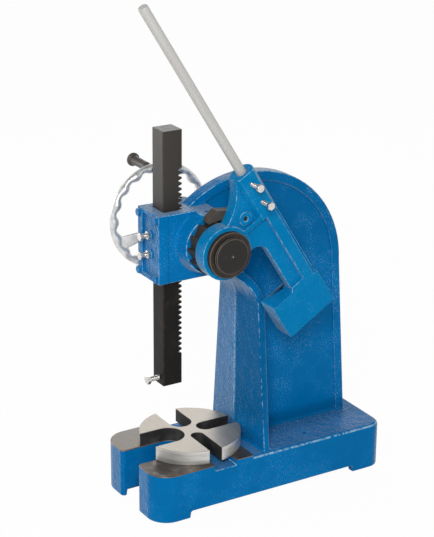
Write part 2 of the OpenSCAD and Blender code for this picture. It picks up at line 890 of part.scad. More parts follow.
module lever_casting() {
    color(lever_paint) at_lever() difference() {
        union() {
            rod_x(hub_x, hub_l, hub_r);
            side_slab(hub_x, plate_t) lever_plate();
            side_slab(hub_x, plate_t + neck_rib_h) neck_rib();
            side_slab(hub_x, hub_l) lever_raised();
            side_slab(hub_x, lip_t)
                box2([border_out - over, -weight_drop], [border_out + lip_w, ridge_u + ridge_t]);
            translate([0, pawl_pivot[0], pawl_pivot[1]]) rod_x(hub_x, pawl_boss_l, pawl_boss_r);
            bar_socket();
            counterweight();
        }
        rod_x(hub_x - over, hub_l + 2 * over, shaft_r + run_play);
        translate([bar_x, bar_offset, socket_top - socket_depth])
            cylinder(h = socket_depth + over, r = bar_r + seat_play);
        for (u = clamp_places)
            translate([0, bar_offset, u]) rod_x(bar_x, socket_r + over, m10_r + seat_play);
        translate([0, pawl_pivot[0], pawl_pivot[1]])
            rod_x(hub_x - over, pawl_boss_l + 2 * over, pawl_pin_r + seat_play);
    }
}

module lever_bar() {
    chamfer = bar_r / 6;
    color(bright) at_lever() translate([bar_x, bar_offset, socket_top - socket_depth]) {
        cylinder(h = bar_l - chamfer, r = bar_r);
        translate([0, 0, bar_l - chamfer]) cylinder(h = chamfer, r1 = bar_r, r2 = bar_r - chamfer);
    }
}

module bar_clamp_bolts() {
    head_x = bar_x + socket_r + clamp_reach - m10_head;
    color(bright) at_lever() for (u = clamp_places)
        translate([head_x, bar_offset, u]) rotate([0, 90, 0])
            hex_bolt(m10_r, m10_flats, m10_head, head_x - bar_x - bar_r - seat_play);
}

// Side view of the pawl: an eye on the pin and a humped nose over the ratchet
module pawl_side() {
    difference() {
        translate(pawl_pivot) {
            circle(pawl_eye_r);
            rotate(pawl_aim) polygon([for (s = pawl_shares) [s[0] * pawl_l, -s[1] * pawl_eye_r]]);
        }
        circle(ratchet_r + pawl_clear);
    }
}

module pawl() {
    color(black_oxide) at_lever() difference() {
        side_slab(pawl_x, pawl_t) pawl_side();
        translate([0, pawl_pivot[0], pawl_pivot[1]])
            rod_x(pawl_x - over, pawl_t + 2 * over, pawl_pin_r + run_play);
    }
}

module pawl_pin() {
    color(bright) at_lever() translate([0, pawl_pivot[0], pawl_pivot[1]])
        rod_x(pawl_x, hub_x + plate_t - pawl_x, pawl_pin_r);
}

// Handwheel

// One dished spoke, a sector of a turned shape that widens towards the rim
module spoke() {
    hub_mid = wheel_hub_l / 2;
    rotate(-spoke_sweep / 2) rotate_extrude(angle = spoke_sweep) polygon([
        [wheel_hub_r - over, hub_mid - spoke_t / 2], [wheel_hub_r - over, hub_mid + spoke_t / 2],
        [wheel_rim_mid_r, wheel_dish + spoke_t / 3], [wheel_rim_mid_r, wheel_dish - spoke_t / 3]
    ]);
}

// Puts children on the handwheel's axis, with +Z outward to the left and the angle 0 at +Y
module at_wheel() {
    at_pinion() translate([wheel_hub_x, 0, 0]) rotate([0, -90, 0]) rotate(90) children();
}

module handwheel() {
    scallop_mid = wheel_r - 2 * wheel_rim_r + scallop_d - scallop_r;
    color(bright) at_wheel() difference() {
        union() {
            cylinder(h = wheel_hub_l, r = wheel_hub_r);
            for (a = spoke_angles) rotate(wheel_turn(a)) spoke();
            translate([0, 0, wheel_dish]) difference() {
                rotate_extrude() translate([wheel_rim_mid_r, 0]) circle(wheel_rim_r);
                for (k = [0 : scallops - 1]) rotate((k + 0.5) * 360 / scallops)
                    translate([scallop_mid, 0, -wheel_rim_r - over])
                        cylinder(h = 2 * (wheel_rim_r + over), r = scallop_r);
            }
        }
        translate([0, 0, -over]) cylinder(h = wheel_hub_l + 2 * over, r = stub_r + seat_play);
        rotate(wheel_turn(90)) box3(
            [0, -wheel_key_w / 2, -over],
            [stub_r + wheel_key_h / 2 + seat_play, wheel_key_w / 2, wheel_hub_l + over]
        );
        rotate(wheel_turn(handle_angle)) translate([wheel_rim_mid_r, 0, wheel_dish - wheel_rim_r - over])
            cylinder(h = 2 * (wheel_rim_r + over), r = spindle_r + seat_play);
    }
}

// Turns an angle seen from the right, from +Y towards +Z, into the wheel's own frame
function wheel_turn(a) = -a;

module handwheel_key() {
    color(bright) at_wheel() rotate(wheel_turn(90)) box3(
        [stub_r - wheel_key_h / 2, -wheel_key_w / 2, 0],
        [stub_r + wheel_key_h / 2, wheel_key_w / 2, wheel_hub_l]
    );
}

module handwheel_washer() {
    color(bright) at_wheel() translate([0, 0, wheel_hub_l]) difference() {
        cylinder(h = washer_t, r = washer_r);
        translate([0, 0, -over]) cylinder(h = washer_t + 2 * over, r = thread_r + seat_play);
    }
}

module handwheel_nut() {
    color(bright) at_wheel() translate([0, 0, wheel_hub_l + washer_t]) difference() {
        hex_prism(nut_flats, nut_t);
        translate([0, 0, -over]) cylinder(h = nut_t + 2 * over, r = thread_r + seat_play);
    }
}

// Puts children where the handle stands on the rim, with +Z outward
module at_handle() {
    at_wheel() rotate(wheel_turn(handle_angle))
        translate([wheel_rim_mid_r, 0, wheel_dish + wheel_rim_r]) children();
}

module handle_spindle() {
    color(bright) at_handle() {
        translate([0, 0, -2 * wheel_rim_r])
            cylinder(h = 2 * (wheel_rim_r + face_gap) + grip_l, r = spindle_r);
        translate([0, 0, grip_l + 2 * face_gap]) cylinder(h = spindle_head_t, r = spindle_head_r);
    }
}

module handle_grip() {
    flange_z = grip_l - grip_end_t;
    color(black_oxide) at_handle() translate([0, 0, face_gap]) difference() {
        rotate_extrude() polygon([
            [0, 0], [grip_r, 0], [grip_r, flange_z - (grip_end_r - grip_r) / 2],
            [grip_end_r, flange_z], [grip_end_r, grip_l], [0, grip_l]
        ]);
        translate([0, 0, -over]) cylinder(h = grip_l + 2 * over, r = spindle_r + run_play);
    }
}

// Ram

// One rack gap, in side view, about its middle on the rack's face
function rack_gap(z) =
    let (
        slope = tan(pressure_angle),
        top = tooth_pitch / 4 + rack_module * slope,
        low = tooth_pitch / 4 - dedendum * slope
    )
    [
        [over, z - top - over * slope], [-rack_module - dedendum, z - low],
        [-rack_module - dedendum, z + low], [over, z + top + over * slope]
    ];

module ram() {
    half = ram_w / 2;
    c = ram_chamfer;
    color(black_oxide) at_ram() difference() {
        translate([0, 0, ram_z]) linear_extrude(ram_l) polygon([
            [c - half, -half], [half - c, -half], [half, c - half], [half, half - c],
            [half - c, half], [c - half, half], [-half, half - c], [-half, c - half]
        ]);
        translate([0, half, pinion_z]) for (k = [-rack_gaps_below : rack_gaps_above])
            side_slab(-ram_w, 2 * ram_w) polygon(rack_gap(k * tooth_pitch));
        translate([0, 0, ram_z - over]) cylinder(h = socket_bore_l + over, r = socket_bore_r);
        translate([0, 0, ram_z + set_screw_rise]) rod_y(-half - over, half + over, m12_r + seat_play);
    }
}

module ram_set_screw() {
    head_y = -ram_w / 2 - m12_reach + m12_head;
    color(bright) at_ram() translate([0, head_y, ram_z + set_screw_rise]) rotate([90, 0, 0])
        hex_bolt(m12_r, m12_flats, m12_head, -head_y - socket_bore_r);
}

// Arbor plate

// One slot of the plate, open at the rim, towards +X
module arbor_slot(w) {
    translate([arbor_core_r + w / 2, 0]) {
        circle(w / 2);
        box2([0, -w / 2], [arbor_r + over, w / 2]);
    }
}

module arbor_plate() {
    slots = [[0, arbor_right_w], [90, arbor_rear_w], [180, arbor_left_w], [270, arbor_front_w]];
    color(machined) at_ram() translate([0, arbor_y, 0]) plan_slab(seat_z, arbor_t) difference() {
        circle(arbor_r);
        for (s = slots) rotate(s[0]) arbor_slot(s[1]);
    }
}

frame_casting();
head_cap();
cap_bolts();
gib_strip();
gib_screws();
gib_lock_nuts();
pinion_shaft();
ratchet_wheel();
ratchet_key();
lever_casting();
lever_bar();
bar_clamp_bolts();
pawl();
pawl_pin();
shaft_collar();
collar_screw();
handwheel();
handwheel_key();
handwheel_washer();
handwheel_nut();
handle_spindle();
handle_grip();
ram();
ram_set_screw();
arbor_plate();
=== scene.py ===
"""Looks of the rack arbor press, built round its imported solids."""
import logging
import math
from dataclasses import dataclass, field
from enum import Enum
from typing import Any, Callable, Optional, Sequence

import bmesh
import bpy
from mathutils import Matrix, Vector


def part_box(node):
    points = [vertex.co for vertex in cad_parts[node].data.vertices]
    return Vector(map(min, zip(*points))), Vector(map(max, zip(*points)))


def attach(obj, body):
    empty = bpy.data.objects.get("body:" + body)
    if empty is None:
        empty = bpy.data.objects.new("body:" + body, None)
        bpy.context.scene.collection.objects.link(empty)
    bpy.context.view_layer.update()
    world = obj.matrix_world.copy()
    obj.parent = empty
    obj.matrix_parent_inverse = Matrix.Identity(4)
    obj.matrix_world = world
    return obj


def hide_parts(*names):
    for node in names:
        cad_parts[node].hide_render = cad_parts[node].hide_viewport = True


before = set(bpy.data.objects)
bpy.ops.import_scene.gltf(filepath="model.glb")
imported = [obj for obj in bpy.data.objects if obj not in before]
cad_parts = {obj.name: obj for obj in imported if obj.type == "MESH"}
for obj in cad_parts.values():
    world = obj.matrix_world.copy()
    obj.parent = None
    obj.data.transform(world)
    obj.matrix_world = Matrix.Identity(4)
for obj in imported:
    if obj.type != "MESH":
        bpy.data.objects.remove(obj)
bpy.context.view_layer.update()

LOG = logging.getLogger("arbor_press")
MM = 0.001
EDGE = "edge"
VECTOR = "NodeSocketVector"
Socket = bpy.types.NodeSocket
Mesh = bpy.types.Mesh
Inputs = Optional[dict[Any, Any]]
Colour = tuple[float, float, float]
Place = tuple[float, float, float]
Span = tuple[float, float]
FacePick = Callable[[Vector, Vector], int]
FaceTest = Callable[[Vector, Vector], bool]

# Measures shared with the solids, in metres, from the bench bolts' midpoint
RAM_Y = -0.324
SEAM_Y = -0.348
SEAT_Z = 0.117
PINION = Vector((0.0, -0.258, 0.628))
PLATE_CENTRE = Vector((0.0, -0.265, 0.117))
LEVER_LEAN = math.radians(32.0)
LEFT = Vector((-1.0, 0.0, 0.0))
UP = Vector((0.0, 0.0, 1.0))


class Slot(Enum):
    """The record's material slots."""

    FRAME_PAINT = "frame_paint"
    LEVER_PAINT = "lever_paint"
    BLACK_STEEL = "black_steel"
    MACHINED_IRON = "machined_iron"
    ZINC_STEEL = "zinc_steel"
    BAR_STEEL = "bar_steel"
    WHEEL_CHROME = "wheel_chrome"
    GRIP_BLACK = "grip_black"


class Body(Enum):
    """The bodies that move by themselves."""

    FRAME = "frame"
    RAM = "ram"
    SHAFT = "shaft"
    GRIP = "grip"
    LEVER = "lever"
    PAWL = "pawl"


class Way(Enum):
    """The direction that a machined grain runs in."""

    ALONG_X = (0.04, 1.0, 1.0)
    ALONG_Z = (1.0, 1.0, 0.04)
    LEVEL = (0.04, 0.04, 1.0)
    ALL = (1.0, 1.0, 1.0)


class Facing(Enum):
    """How an upright screw is turned, named by where its head then looks."""

    FRONT = (math.pi / 2, 0.0, 0.0)
    RIGHT = (0.0, math.pi / 2, 0.0)


def scaled(colour: Colour, share: float) -> Colour:
    """Gives a colour that is darker or paler by a share."""
    return tuple(c * share for c in colour)


class TreeWriter:
    """Adds nodes and links to one node tree."""

    def __init__(self, tree: bpy.types.NodeTree) -> None:
        """Keeps the tree that is written."""
        self.tree = tree

    def add(self, kind: str, sockets: Inputs = None, **settings: Any) -> bpy.types.Node:
        """Adds a node, sets its properties and fills its inputs.

        Args:
            kind: the node's type name.
            sockets: input names or numbers, each with a value or a socket to link from.
            settings: the node's own properties.

        Returns:
            The new node.
        """
        node = self.tree.nodes.new(kind)
        for key, value in settings.items():
            setattr(node, key, value)
        for key, value in (sockets or {}).items():
            self.put(value, node.inputs[key])
        return node

    def out(self, kind: str, sockets: Inputs = None, **settings: Any) -> Socket:
        """Adds a node as add does, and gives its first output."""
        return self.add(kind, sockets, **settings).outputs[0]

    def put(self, value: Any, target: Socket) -> None:
        """Links a socket to an input, or sets the input's own value.

        Args:
            value: a socket or a plain value.
            target: the input.
        """
        if isinstance(value, Socket):
            self.tree.links.new(value, target)
        else:
            target.default_value = value

    def math(self, operation: str, *values: Any, clamp: bool = False) -> Socket:
        """Adds a Math node, whose result may be kept between 0 and 1."""
        sockets = dict(enumerate(values))
        return self.out("ShaderNodeMath", sockets, operation=operation, use_clamp=clamp)

    def times(self, first: Any, second: Any) -> Socket:
        """Multiplies two values."""
        return self.math("MULTIPLY", first, second)

    def plus(self, first: Any, second: Any) -> Socket:
        """Adds two values."""
        return self.math("ADD", first, second)

    def grown(self, value: Any, factor: Any, start: Any) -> Socket:
        """Adds a multiple of a value to a start."""
        return self.math("MULTIPLY_ADD", value, factor, start)

    def size(self, value: Any) -> Socket:
        """Gives a value without its sign."""
        return self.math("ABSOLUTE", value)

    def parts(self, vector: Socket) -> Any:
        """Takes a vector apart into its three numbers."""
        return self.add("ShaderNodeSeparateXYZ", {0: vector}).outputs

    def noise(self, vector: Socket, scale: Any, detail: float = 2.0, rough: float = 0.5) -> Socket:
        """Adds a noise texture with a scale per metre, and gives its value from 0 to 1."""
        sockets = {"Vector": vector, "Scale": scale, "Detail": detail, "Roughness": rough}
        return self.add("ShaderNodeTexNoise", sockets).outputs["Fac"]

    def ramp(self, value: Any, low: float, high: float) -> Socket:
        """Stretches a value between two limits, smoothly, to the range from 0 to 1."""
        sockets = {"Value": value, "From Min": low, "From Max": high}
        return self.out("ShaderNodeMapRange", sockets, interpolation_type="SMOOTHSTEP")

    def band(self, value: Any, rise: Span, fall: Span) -> Socket:
        """Masks a band between a rising and a falling ramp."""
        return self.times(self.ramp(value, *rise), self.ramp(value, *fall))

    def mix(self, factor: Any, first: Any, second: Any) -> Socket:
        """Mixes two colours.

        Args:
            factor: share of the second.
            first: a colour or a socket.
            second: a colour or a socket.

        Returns:
            The mixed colour.
        """
        node = self.add("ShaderNodeMix", data_type="RGBA")
        inputs = [s for s in node.inputs if s.type == "RGBA"]
        self.put(factor, node.inputs["Factor"])
        for target, value in zip(inputs, (first, second)):
            self.put((*value, 1.0) if isinstance(value, tuple) else value, target)
        return next(s for s in node.outputs if s.type == "RGBA")

    def rise(self, height: Any) -> Socket:
        """Makes a vector that points up."""
        return self.out("ShaderNodeCombineXYZ", {2: height})

    def moved(self, shape: Socket, place: Any, **turn: Any) -> Socket:
        """Moves a geometry, and turns it if a Rotation is given."""
        sockets = {"Geometry": shape, "Translation": place, **turn}
        return self.out("GeometryNodeTransform", sockets)

    def smooth(self, shape: Socket) -> Socket:
        """Shades a geometry smooth."""
        return self.out("GeometryNodeSetShadeSmooth", {"Geometry": shape})

    def join(self, *shapes: Socket) -> Socket:
        """Joins geometries.

        Args:
            shapes: the geometries, in order.

        Returns:
            The joined geometry.
        """
        node = self.add("GeometryNodeJoinGeometry")
        for shape in shapes:
            self.put(shape, node.inputs[0])
        return node.outputs[0]


@dataclass(frozen=True)
class Plug:
    """One named socket of a node group."""

    name: str
    kind: str = "NodeSocketFloat"
    value: Optional[float] = None


class NodeKit:
    """Node groups, each built once by the method of its name."""

    kind: str = "ShaderNodeTree"
    _made: dict[str, bpy.types.NodeTree] = {}

    @classmethod
    def begin(
        cls, name: str, ins: Sequence[Plug], outs: Sequence[Plug]
    ) -> tuple[TreeWriter, Any, Any]:
        """Opens a new group.

        Args:
            name: the group's name.
            ins: its inputs.
            outs: its outputs.

        Returns:
            The writer, the sockets that give the group's inputs and those that take its outputs.
        """
        tree = bpy.data.node_groups.new(name, cls.kind)
        for way, plugs in (("INPUT", ins), ("OUTPUT", outs)):
            for plug in plugs:
                socket = tree.interface.new_socket(plug.name, in_out=way, socket_type=plug.kind)
                if plug.value is not None:
                    socket.default_value = plug.value
        w = TreeWriter(tree)
        return w, w.add("NodeGroupInput").outputs, w.add("NodeGroupOutput").inputs

    @classmethod
    def get(cls, name: str) -> bpy.types.NodeTree:
        """Gives a group, built once.

        Args:
            name: the name of the method that builds it.

        Returns:
            The group's tree.
        """
        if name not in cls._made:
            cls._made[name] = getattr(cls, name)()
        return cls._made[name]


class ShaderKit(NodeKit):
    """The shader groups that several finishes share."""

    @classmethod
    def cast_skin(cls) -> bpy.types.NodeTree:
        """Builds the orange-peel of enamel on a sand casting, with the mask of the painted glints.

        Returns:
            The group's tree.
        """
        w, i, o = cls.begin(
            "cast_skin",
            [Plug("Vector", VECTOR), Plug("Peel"), Plug("Swell")],
            [Plug("Height"), Plug("Mottle"), Plug("Glints")],
        )
        spot = i["Vector"]
        peel = w.noise(spot, i["Peel"], 2.0, 0.55)
        swell = w.noise(spot, i["Swell"], 2.0, 0.5)
        fine = w.noise(spot, w.times(i["Peel"], 2.1), 1.0, 0.5)
        w.put(w.plus(w.times(peel, 0.55), w.times(swell, 0.9)), o["Height"])
        w.put(w.noise(spot, w.times(i["Swell"], 0.25), 4.0, 0.6), o["Mottle"])
        # Mask of the painted glints, which the enamel mixes into its colour.
        w.put(w.ramp(fine, 0.60, 0.74), o["Glints"])
        return w.tree

    @classmethod
    def edge_wear(cls) -> bpy.types.NodeTree:
        """Builds the broken wear along rounded edges; on the enamel its pale lines also stand for
        painted highlights.

        Returns:
            The group's tree.
        """
        w, i, o = cls.begin(
            "edge_wear",
            [Plug("Vector", VECTOR), Plug("Edge"), Plug("Scale", value=90.0), Plug("Amount")],
            [Plug("Mask")],
        )
        patch = w.noise(i["Vector"], i["Scale"], 4.0, 0.65)
        limit = w.plus(w.math("SUBTRACT", 1.0, i["Amount"]), 0.75)
        worn = w.math("SUBTRACT", w.plus(i["Edge"], patch), limit)
        w.put(w.math("MULTIPLY", worn, 5.0, clamp=True), o["Mask"])
        return w.tree

    @classmethod
    def machined_grain(cls) -> bpy.types.NodeTree:
        """Builds the streaks that a cutter or a grinding belt leaves.

        Returns:
            The group's tree.
        """
        w, i, o = cls.begin(
            "machined_grain",
            [Plug("Vector", VECTOR), Plug("Way", VECTOR), Plug("Scale")],
            [Plug("Value"), Plug("Height")],
        )
        both = {0: i["Vector"], 1: i["Way"]}
        drawn = w.out("ShaderNodeVectorMath", both, operation="MULTIPLY")
        streak = w.noise(drawn, i["Scale"], 3.0, 0.6)
        broad = w.noise(drawn, w.times(i["Scale"], 0.12), 3.0, 0.6)
        w.put(w.ramp(w.plus(streak, broad), 0.7, 1.3), o["Value"])
        w.put(streak, o["Height"])
        return w.tree

    @classmethod
    def turned_rings(cls) -> bpy.types.NodeTree:
        """Builds the fine rings of a lathe, round the X axis of the vector.

        Returns:
            The group's tree.
        """
        w, i, o = cls.begin(
            "turned_rings",
            [Plug("Vector", VECTOR), Plug("Scale")],
            [Plug("Value"), Plug("Height")],
        )
        x, y, z = w.parts(i["Vector"])
        reach = w.math("SQRT", w.plus(w.math("POWER", y, 2.0), w.math("POWER", z, 2.0)))
        ring = w.noise(w.out("ShaderNodeCombineXYZ", {0: x, 1: reach}), i["Scale"], 2.0, 0.6)
        w.put(w.ramp(ring, 0.3, 0.7), o["Value"])
        w.put(ring, o["Height"])
        return w.tree

    @classmethod
    def oil_tint(cls) -> bpy.types.NodeTree:
        """Builds the brown bloom that oil leaves on bare and blackened iron.

        Returns:
            The group's tree.
        """
        w, i, o = cls.begin(
            "oil_tint",
            [Plug("Vector", VECTOR), Plug("Edge"), Plug("Scale", value=30.0), Plug("Amount")],
            [Plug("Mask")],
        )
        bloom = w.ramp(w.noise(i["Vector"], i["Scale"], 4.0, 0.6), 0.5, 0.8)
        rim = w.plus(w.times(bloom, i["Amount"]), w.times(i["Edge"], 0.6))
        w.put(w.math("MINIMUM", rim, 1.0), o["Mask"])
        return w.tree


class MaterialWriter(TreeWriter):
    """Writes one Principled material that reads Object coordinates."""

    def __init__(self, name: str) -> None:
        """Starts the material.

        Args:
            name: the material's name.
        """
        self.material = bpy.data.materials.new(name)
        self.material.use_nodes = True
        super().__init__(self.material.node_tree)
        self.shader = self.tree.nodes["Principled BSDF"]
        self.place = self.add("ShaderNodeTexCoord").outputs["Object"]
        self.edge = self.add("ShaderNodeAttribute", attribute_name=EDGE).outputs["Fac"]

    def group(self, name: str, **sockets: Any) -> Any:
        """Places a shared group.

        Args:
            name: the group's name.
            sockets: its inputs; Vector and Edge are filled by themselves.

        Returns:
            The group's output sockets.
        """
        node = self.add("ShaderNodeGroup", node_tree=ShaderKit.get(name))
        for key, value in {"Vector": self.place, "Edge": self.edge, **sockets}.items():
            if key in node.inputs:
                self.put(value, node.inputs[key])
        return node.outputs

    def centred(self, centre: Place) -> Socket:
        """Gives Object coordinates counted from a centre."""
        sockets = {"Vector": self.place, "Location": -Vector(centre)}
        return self.out("ShaderNodeMapping", sockets)

    def bump(self, height: Socket, distance: float) -> Socket:
        """Bends the shader's normal by a height.

        Args:
            height: the height's socket.
            distance: metres for a height of 1.

        Returns:
            The bent normal.
        """
        normal = self.out("ShaderNodeBump", {"Height": height, "Distance": distance})
        self.put(normal, self.shader.inputs["Normal"])
        return normal

    def finish(self, **sockets: Any) -> bpy.types.Material:
        """Fills the shader's inputs.

        Args:
            sockets: input names, with underscores for spaces.

        Returns:
            The material.
        """
        for key, value in sockets.items():
            self.put(value, self.shader.inputs[key.replace("_", " ")])
        return self.material


class Finish:
    """A surface finish; each gives one material, made once."""

    _made: dict[str, bpy.types.Material] = {}

    def material(self) -> bpy.types.Material:
        """Gives the finish's material.

        Returns:
            The material, which is written when it is first asked for.
        """
        name = getattr(self, "name")
        if name not in self._made:
            self._made[name] = self.write()
        return self._made[name]

    def write(self) -> bpy.types.Material:
        """Writes the material's nodes."""
        raise NotImplementedError


@dataclass
class Coat:
    """What may change over an enamel: tone with its painted shade, wear, the painted sheen's
    share, strewn painted glints and a pale line that is partly wear and partly a painted
    highlight.
    """

    tone: Socket
    wear: Any
    sheen_share: Any
    strewn_glints: Any
    line: Optional[Socket] = None


@dataclass(frozen=True)
class CastEnamel(Finish):
    """Gloss enamel brushed over a sand casting."""

    name: str
    colour: Colour
    deep: Colour
    # Pale edge colour, partly wear and partly painted highlights.
    worn: Colour = (0.36, 0.57, 0.72)
    # Colour of the painted sheen.
    sheen: Colour = (0.36, 0.41, 0.46)
    # Colour of the painted glints.
    glint_colour: Colour = (0.66, 0.77, 0.85)
    roughness: float = 0.15
    spread: float = 0.14
    peel: float = 190.0
    swell: float = 45.0
    relief: float = 0.0018
    wear: float = 0.38
    bare: float = 0.8
    # Painted glints: their strength, their share strewn in patches and their share at flat angles.
    glint_strength: float = 0.95
    strewn_glints: float = 0.15
    flat_glints: float = 0.6
    # Share of the painted sheen at flat angles.
    sheen_share: float = 0.35
    gloss: float = 0.035
    shift: Span = (0.35, 0.70)
    patches: Span = (0.42, 0.62)
    flat: Span = (0.48, 0.66)

    def write(self) -> bpy.types.Material:
        """Writes enamel with orange-peel, pale edges that stand partly for wear and partly for
        painted highlights, painted glints and a painted sheen at flat angles.

        Returns:
            The material.
        """
        w = MaterialWriter(self.name)
        skin = w.group("cast_skin", Peel=self.peel, Swell=self.swell)
        mottle = skin["Mottle"]
        tone = w.mix(w.ramp(mottle, *self.shift), self.deep, self.colour)
        coat = Coat(tone, self.wear, self.sheen_share, self.strewn_glints)
        self.weather(w, coat)
        # Pale edge lines, partly wear and partly painted highlights.
        worn = w.group("edge_wear", Amount=coat.wear)["Mask"]
        if coat.line is not None:
            worn = w.math("MAXIMUM", worn, coat.line)
        paint = w.mix(w.times(worn, self.bare), coat.tone, self.worn)
        normal = w.bump(skin["Height"], self.relief)
        # A painted sheen at flat angles, taken from Layer Weight into the base colour.
        weight = w.add("ShaderNodeLayerWeight", {"Blend": 0.5, "Normal": normal})
        flat = w.ramp(weight.outputs["Facing"], *self.flat)
        sheened = w.mix(w.times(flat, coat.sheen_share), paint, self.sheen)
        # Painted glints, strewn in patches and denser at flat angles.
        scattered = w.times(w.ramp(mottle, *self.patches), coat.strewn_glints)
        glint = w.times(skin["Glints"], w.plus(scattered, w.times(flat, self.flat_glints)))
        colour = w.mix(w.math("MULTIPLY", glint, self.glint_strength, clamp=True), sheened, self.glint_colour)
        rough = w.plus(self.roughness, w.times(mottle, self.spread))
        return w.finish(Base_Color=colour, Roughness=rough, Specular_IOR_Level=self.gloss)

    def weather(self, w: MaterialWriter, coat: Coat) -> None:
        """Leaves the coat the same all over."""


@dataclass(frozen=True)
class FrameEnamel(CastEnamel):
    """The frame's enamel, with painted shade on the web, at the column's foot and on the right
    half of the column's front, a painted sheen that grows towards the head, a dark seam, and a
    ragged pale line down the column's front that stands partly for wear and partly for a painted
    highlight.

    A span gives where a mask is 0 and where it is 1, in metres along the named axis.
    """

    shade: float = 0.62
    # Painted shade on the web behind the lever, deeper towards the arch, with more painted glints
    # there.
    web_x: Span = (0.045, 0.015)
    web_y: Span = (-0.145, -0.115)
    web_glints: float = 0.24
    web_shade: float = 0.03
    arch_z: Span = (0.48, 0.62)
    arch_shade: float = 0.30
    # Painted shade, and less painted sheen, on the base's top at the column's foot.
    corner_x: Span = (0.085, 0.02)
    corner_y: Span = (-0.16, -0.13)
    corner_z: Span = (0.150, 0.128)
    corner_shade: float = 0.6
    corner_sheen: float = -0.20
    # A painted sheen that grows towards the head.
    head_z: Span = (0.45, 0.68)
    head_sheen: float = 0.17
    # Fewer pale edge lines down the column's front, and painted shade on its right half.
    throat_y: tuple[Span, Span] = ((-0.11, -0.13), (-0.33, -0.30))
    throat_z: tuple[Span, Span] = ((0.13, 0.20), (0.52, 0.46))
    throat_wear: float = -0.12
    lee_x: Span = (-0.001, 0.006)
    lee_shade: float = 0.75
    joint_y: Span = (0.0016, 0.0006)
    joint_z: Span = (0.50, 0.53)
    joint_shade: float = 0.42
    joint_dark: float = 0.30
    # The ragged pale line along the crest, partly wear and partly a painted highlight.
    crest_x: Span = (0.0065, 0.0015)
    crest_stray: float = 0.026
    crest_scale: float = 160.0
    crest_gaps: Span = (0.40, 0.60)
    crest_bare: float = 0.8

    def weather(self, w: MaterialWriter, coat: Coat) -> None:
        """Changes the coat by where it is on the casting, with painted shade and painted sheen
        among the changes.

        Args:
            w: the material's writer.
            coat: the coat that is changed.
        """
        x, y, z = w.parts(w.place)
        shade = scaled(self.deep, self.shade)
        # Painted shade on the web behind the lever, deeper towards the arch, with more painted
        # glints there.
        web = w.times(w.ramp(w.size(x), *self.web_x), w.ramp(y, *self.web_y))
        coat.strewn_glints = w.grown(web, self.web_glints, coat.strewn_glints)
        painted_web_shade = w.grown(w.ramp(z, *self.arch_z), self.arch_shade, self.web_shade)
        coat.tone = w.mix(w.times(web, painted_web_shade), coat.tone, shade)
        # Painted shade on the base's top at the column's foot.
        foot = w.times(w.ramp(z, *self.corner_z), w.ramp(y, *self.corner_y))
        corner = w.times(w.ramp(w.size(x), *self.corner_x), foot)
        coat.tone = w.mix(w.times(corner, self.corner_shade), coat.tone, shade)
        # A painted sheen that grows towards the head, and less of it at the column's foot.
        sheen_share = w.grown(w.ramp(z, *self.head_z), self.head_sheen, coat.sheen_share)
        coat.sheen_share = w.grown(corner, self.corner_sheen, sheen_share)
        # Fewer pale edge lines down the column's front, and painted shade on its right half.
        throat = w.times(w.band(y, *self.throat_y), w.band(z, *self.throat_z))
        coat.wear = w.grown(throat, self.throat_wear, coat.wear)
        lee = w.times(throat, w.ramp(x, *self.lee_x))
        coat.tone = w.mix(w.times(lee, self.lee_shade), coat.tone, shade)
        joint = w.ramp(w.size(w.math("SUBTRACT", y, SEAM_Y)), *self.joint_y)
        joint = w.times(joint, w.ramp(z, *self.joint_z))
        dark = scaled(self.deep, self.joint_dark)
        coat.tone = w.mix(w.times(joint, self.joint_shade), coat.tone, dark)
        # The ragged pale line along the crest, partly wear and partly a painted highlight.
        coat.line = w.times(throat, self.crest(w, x))

    def crest(self, w: MaterialWriter, x: Socket) -> Socket:
        """Masks the ragged pale line along the middle plane, which stands partly for wear and
        partly for a painted highlight on the crest.

        Args:
            w: the material's writer.
            x: how far to the right the surface is.

        Returns:
            The line's mask.
        """
        ragged = w.noise(w.place, self.crest_scale, 3.0, 0.65)
        aside = w.plus(x, w.grown(ragged, self.crest_stray, -0.5 * self.crest_stray))
        line = w.ramp(w.size(aside), *self.crest_x)
        return w.times(line, w.times(w.ramp(ragged, *self.crest_gaps), self.crest_bare))


